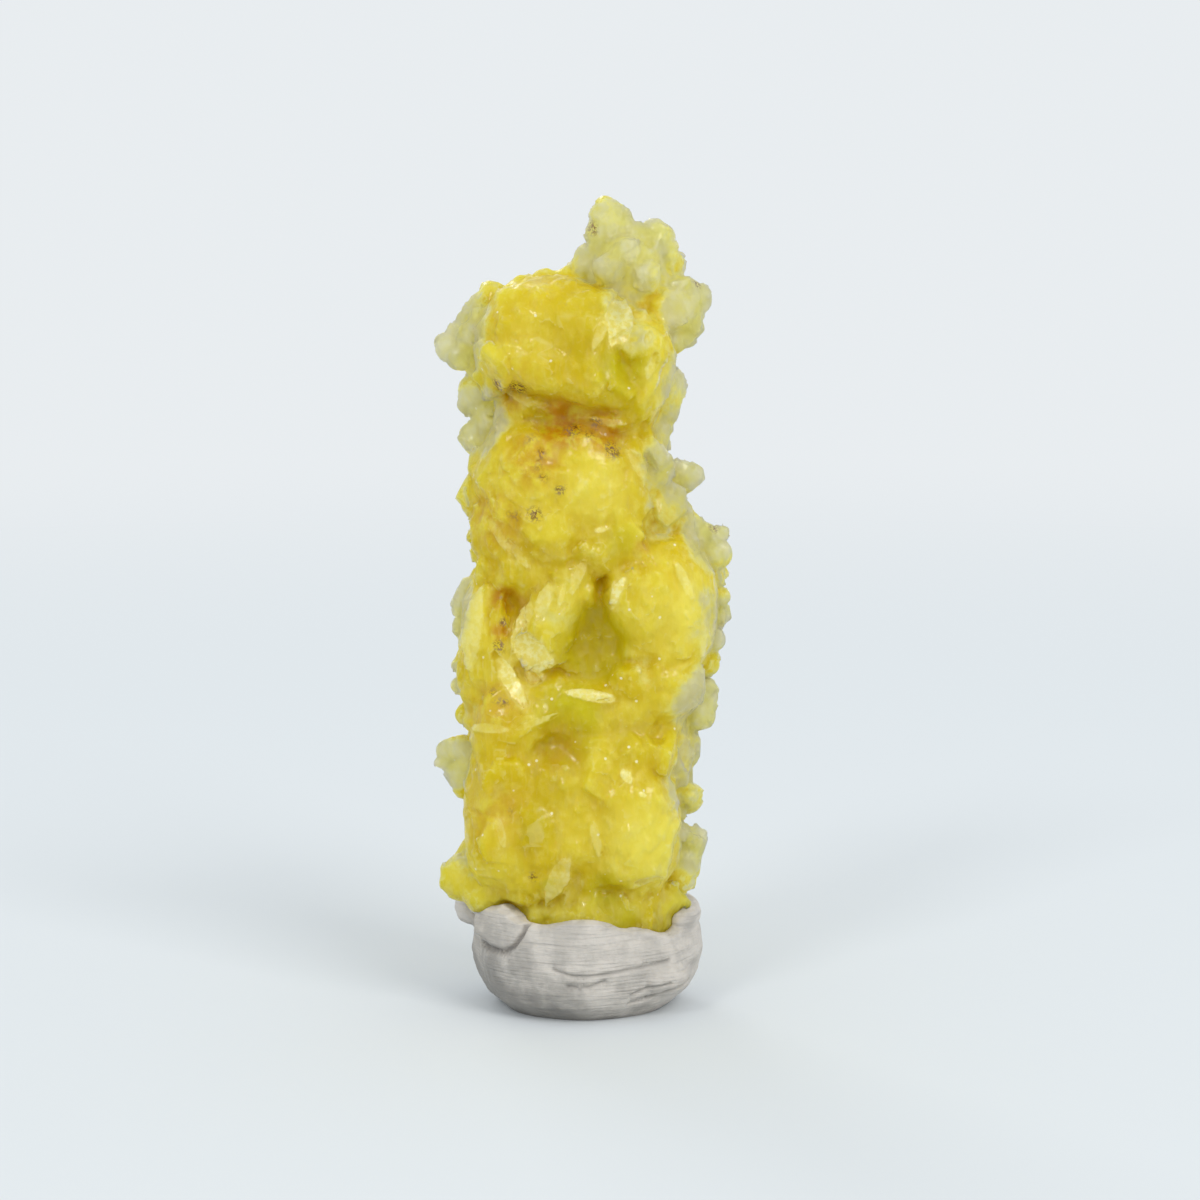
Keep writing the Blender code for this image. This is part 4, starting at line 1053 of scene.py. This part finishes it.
def putty_material():
    n = Nodes("putty")
    cloud = n.noise(0.25, 4.0, 0.6)
    colour = n.mix(n.ramp(cloud, 0.35, 0.65), PUTTY, PUTTY_LIGHT)
    parts = n.fill(n.add("ShaderNodeSeparateXYZ"), {0: n.place})
    # painted shade: the wad is darker towards the lower left
    up_right = n.math("ADD", n.times(parts.outputs[0], 0.45), parts.outputs[2])
    lower_left_shade = n.math("ADD", up_right, n.ramp(cloud, 0.3, 0.7, -2.0, 2.0))
    colour = n.mix(n.ramp(lower_left_shade, 7.0, -2.5, 0.0, 0.75), colour, LOWER_LEFT_SHADE)
    # painted shade in the creases
    colour = n.mix(n.times(n.attribute("crease_shade"), 0.55), colour, CREASE_SHADE)
    level = n.noise(1.0, 4.0, 0.6, n.mapped((0.16, 0.16, 2.0), (0.0, 0.10, 0.0)))
    slanted = n.noise(1.0, 4.0, 0.6, n.mapped((0.20, 0.20, 2.4), (0.0, -0.5, 0.0)))
    low = n.ramp(up_right, 5.0, 2.0)
    lines = n.math("ADD", n.times(level, n.math("SUBTRACT", 1.0, low)), n.times(slanted, low))
    # painted shade in the grooves of the fine fold lines
    colour = n.mix(n.ramp(lines, 0.46, 0.34, 0.0, 0.30), colour, LINE_SHADE)
    colour = n.mix(n.ramp(n.noise(3.2, 4.0, 0.7), 0.66, 0.74, 0.0, 0.5), colour, GRIT)
    bands = n.fill(n.add("ShaderNodeTexWave", bands_direction="Z"), {
        "Vector": n.mapped((0.10, 0.10, 1.0), (0.0, 0.0, 0.0)),
        "Scale": 0.70, "Distortion": 3.0, "Detail": 2.0, "Detail Scale": 0.6,
    })
    patches = n.ramp(n.noise(0.14, 2.0), 0.45, 0.60, 0.0, 0.5)
    normal = n.bump(n.times(bands.outputs["Fac"], patches), 0.6, 0.10)
    normal = n.bump(lines, 0.8, 0.35, normal)
    n.fill(n.shader, {
        "Base Color": colour,
        "Normal": n.bump(n.noise(1.9, 5.0, 0.65), 0.5, 0.12, normal),
        "Roughness": n.ramp(cloud, 0.3, 0.7, 0.62, 0.82),
        "Subsurface Weight": 0.15,
        "Subsurface Radius": (1.0, 0.8, 0.6),
        "Subsurface Scale": 0.8 * MM,
    })
    return n.material


# ---------------------------------------------------------------- stage, light and camera

BACKDROP = (0.812, 0.847, 0.871)
FLOOR = (0.66, 0.69, 0.71)
FLOOR_RADIUS = 1.6
FLOOR_FADE = (200.0, 700.0)  # millimetres from the middle
# Square lamps: place, size, power, colour. They shine at LIT.
LAMPS = {
    "key": ((1.0, -1.3, 1.3), 0.9, 15.0, (1.0, 0.98, 0.95)),
    "side": ((-0.9, -1.5, 1.32), 0.5, 8.0, (1.0, 0.99, 0.97)),
    "back": ((-0.6, 1.5, 1.1), 0.7, 4.5, (1.0, 0.99, 0.97)),
}
LIT = (0.0, 0.0, 0.05)
PHOTO_WIDTH = 0.144  # what the picture's width spans at the specimen
CAMERA_LENS = 100.0
CAMERA_SENSOR = 36.0
CAMERA_ELEVATION = 8.0
CAMERA_TARGET = (2.04, 0.0, 49.6)


def build_floor():
    """A pale floor that fades into the surroundings before its edge."""
    bm = bmesh.new()
    bmesh.ops.create_circle(bm, cap_ends=True, segments=96, radius=FLOOR_RADIUS)
    mesh = bpy.data.meshes.new("floor")
    bm.to_mesh(mesh)
    bm.free()
    floor = new_object("floor", mesh)
    n = Nodes("floor")
    distance = n.vector("LENGTH", {0: n.place}).outputs["Value"]
    n.fill(n.shader, {
        "Base Color": FLOOR,
        "Roughness": 0.9,
        "Specular IOR Level": 0.0,
        "Alpha": n.ramp(distance, *FLOOR_FADE, 1.0, 0.0),
    })
    mesh.materials.append(n.material)


def build_light():
    world = bpy.data.worlds.new("surroundings")
    world.use_nodes = True
    background = world.node_tree.nodes["Background"]
    background.inputs["Color"].default_value = (*BACKDROP, 1.0)
    background.inputs["Strength"].default_value = 1.0
    bpy.context.scene.world = world
    for name, (place, size, power, colour) in LAMPS.items():
        data = bpy.data.lights.new(name, "AREA")
        data.shape = "SQUARE"
        data.size = size
        data.energy = power
        data.color = colour
        lamp = new_object(name, data)
        lamp.location = place
        lamp.rotation_euler = (Vector(LIT) - Vector(place)).to_track_quat("-Z", "Y").to_euler()


def build_camera():
    data = bpy.data.cameras.new("camera")
    data.lens = CAMERA_LENS
    data.sensor_width = CAMERA_SENSOR
    distance = PHOTO_WIDTH * CAMERA_LENS / CAMERA_SENSOR
    elevation = math.radians(CAMERA_ELEVATION)
    target = Vector(CAMERA_TARGET) * MM
    camera = new_object("camera", data)
    camera.location = target + distance * Vector((0.0, -math.cos(elevation), math.sin(elevation)))
    camera.rotation_euler = (math.radians(90) - elevation, 0.0, 0.0)
    data.clip_start = 0.01
    data.clip_end = 10.0
    bpy.context.scene.camera = camera


# ---------------------------------------------------------------- the specimen

build_camera()
build_light()
build_floor()

brucite = build_brucite()
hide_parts("brucite")
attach(brucite, "root")

putty = build_putty(brucite)
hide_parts("putty")
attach(putty, "root")

bpy.context.scene.view_settings.view_transform = "Standard"
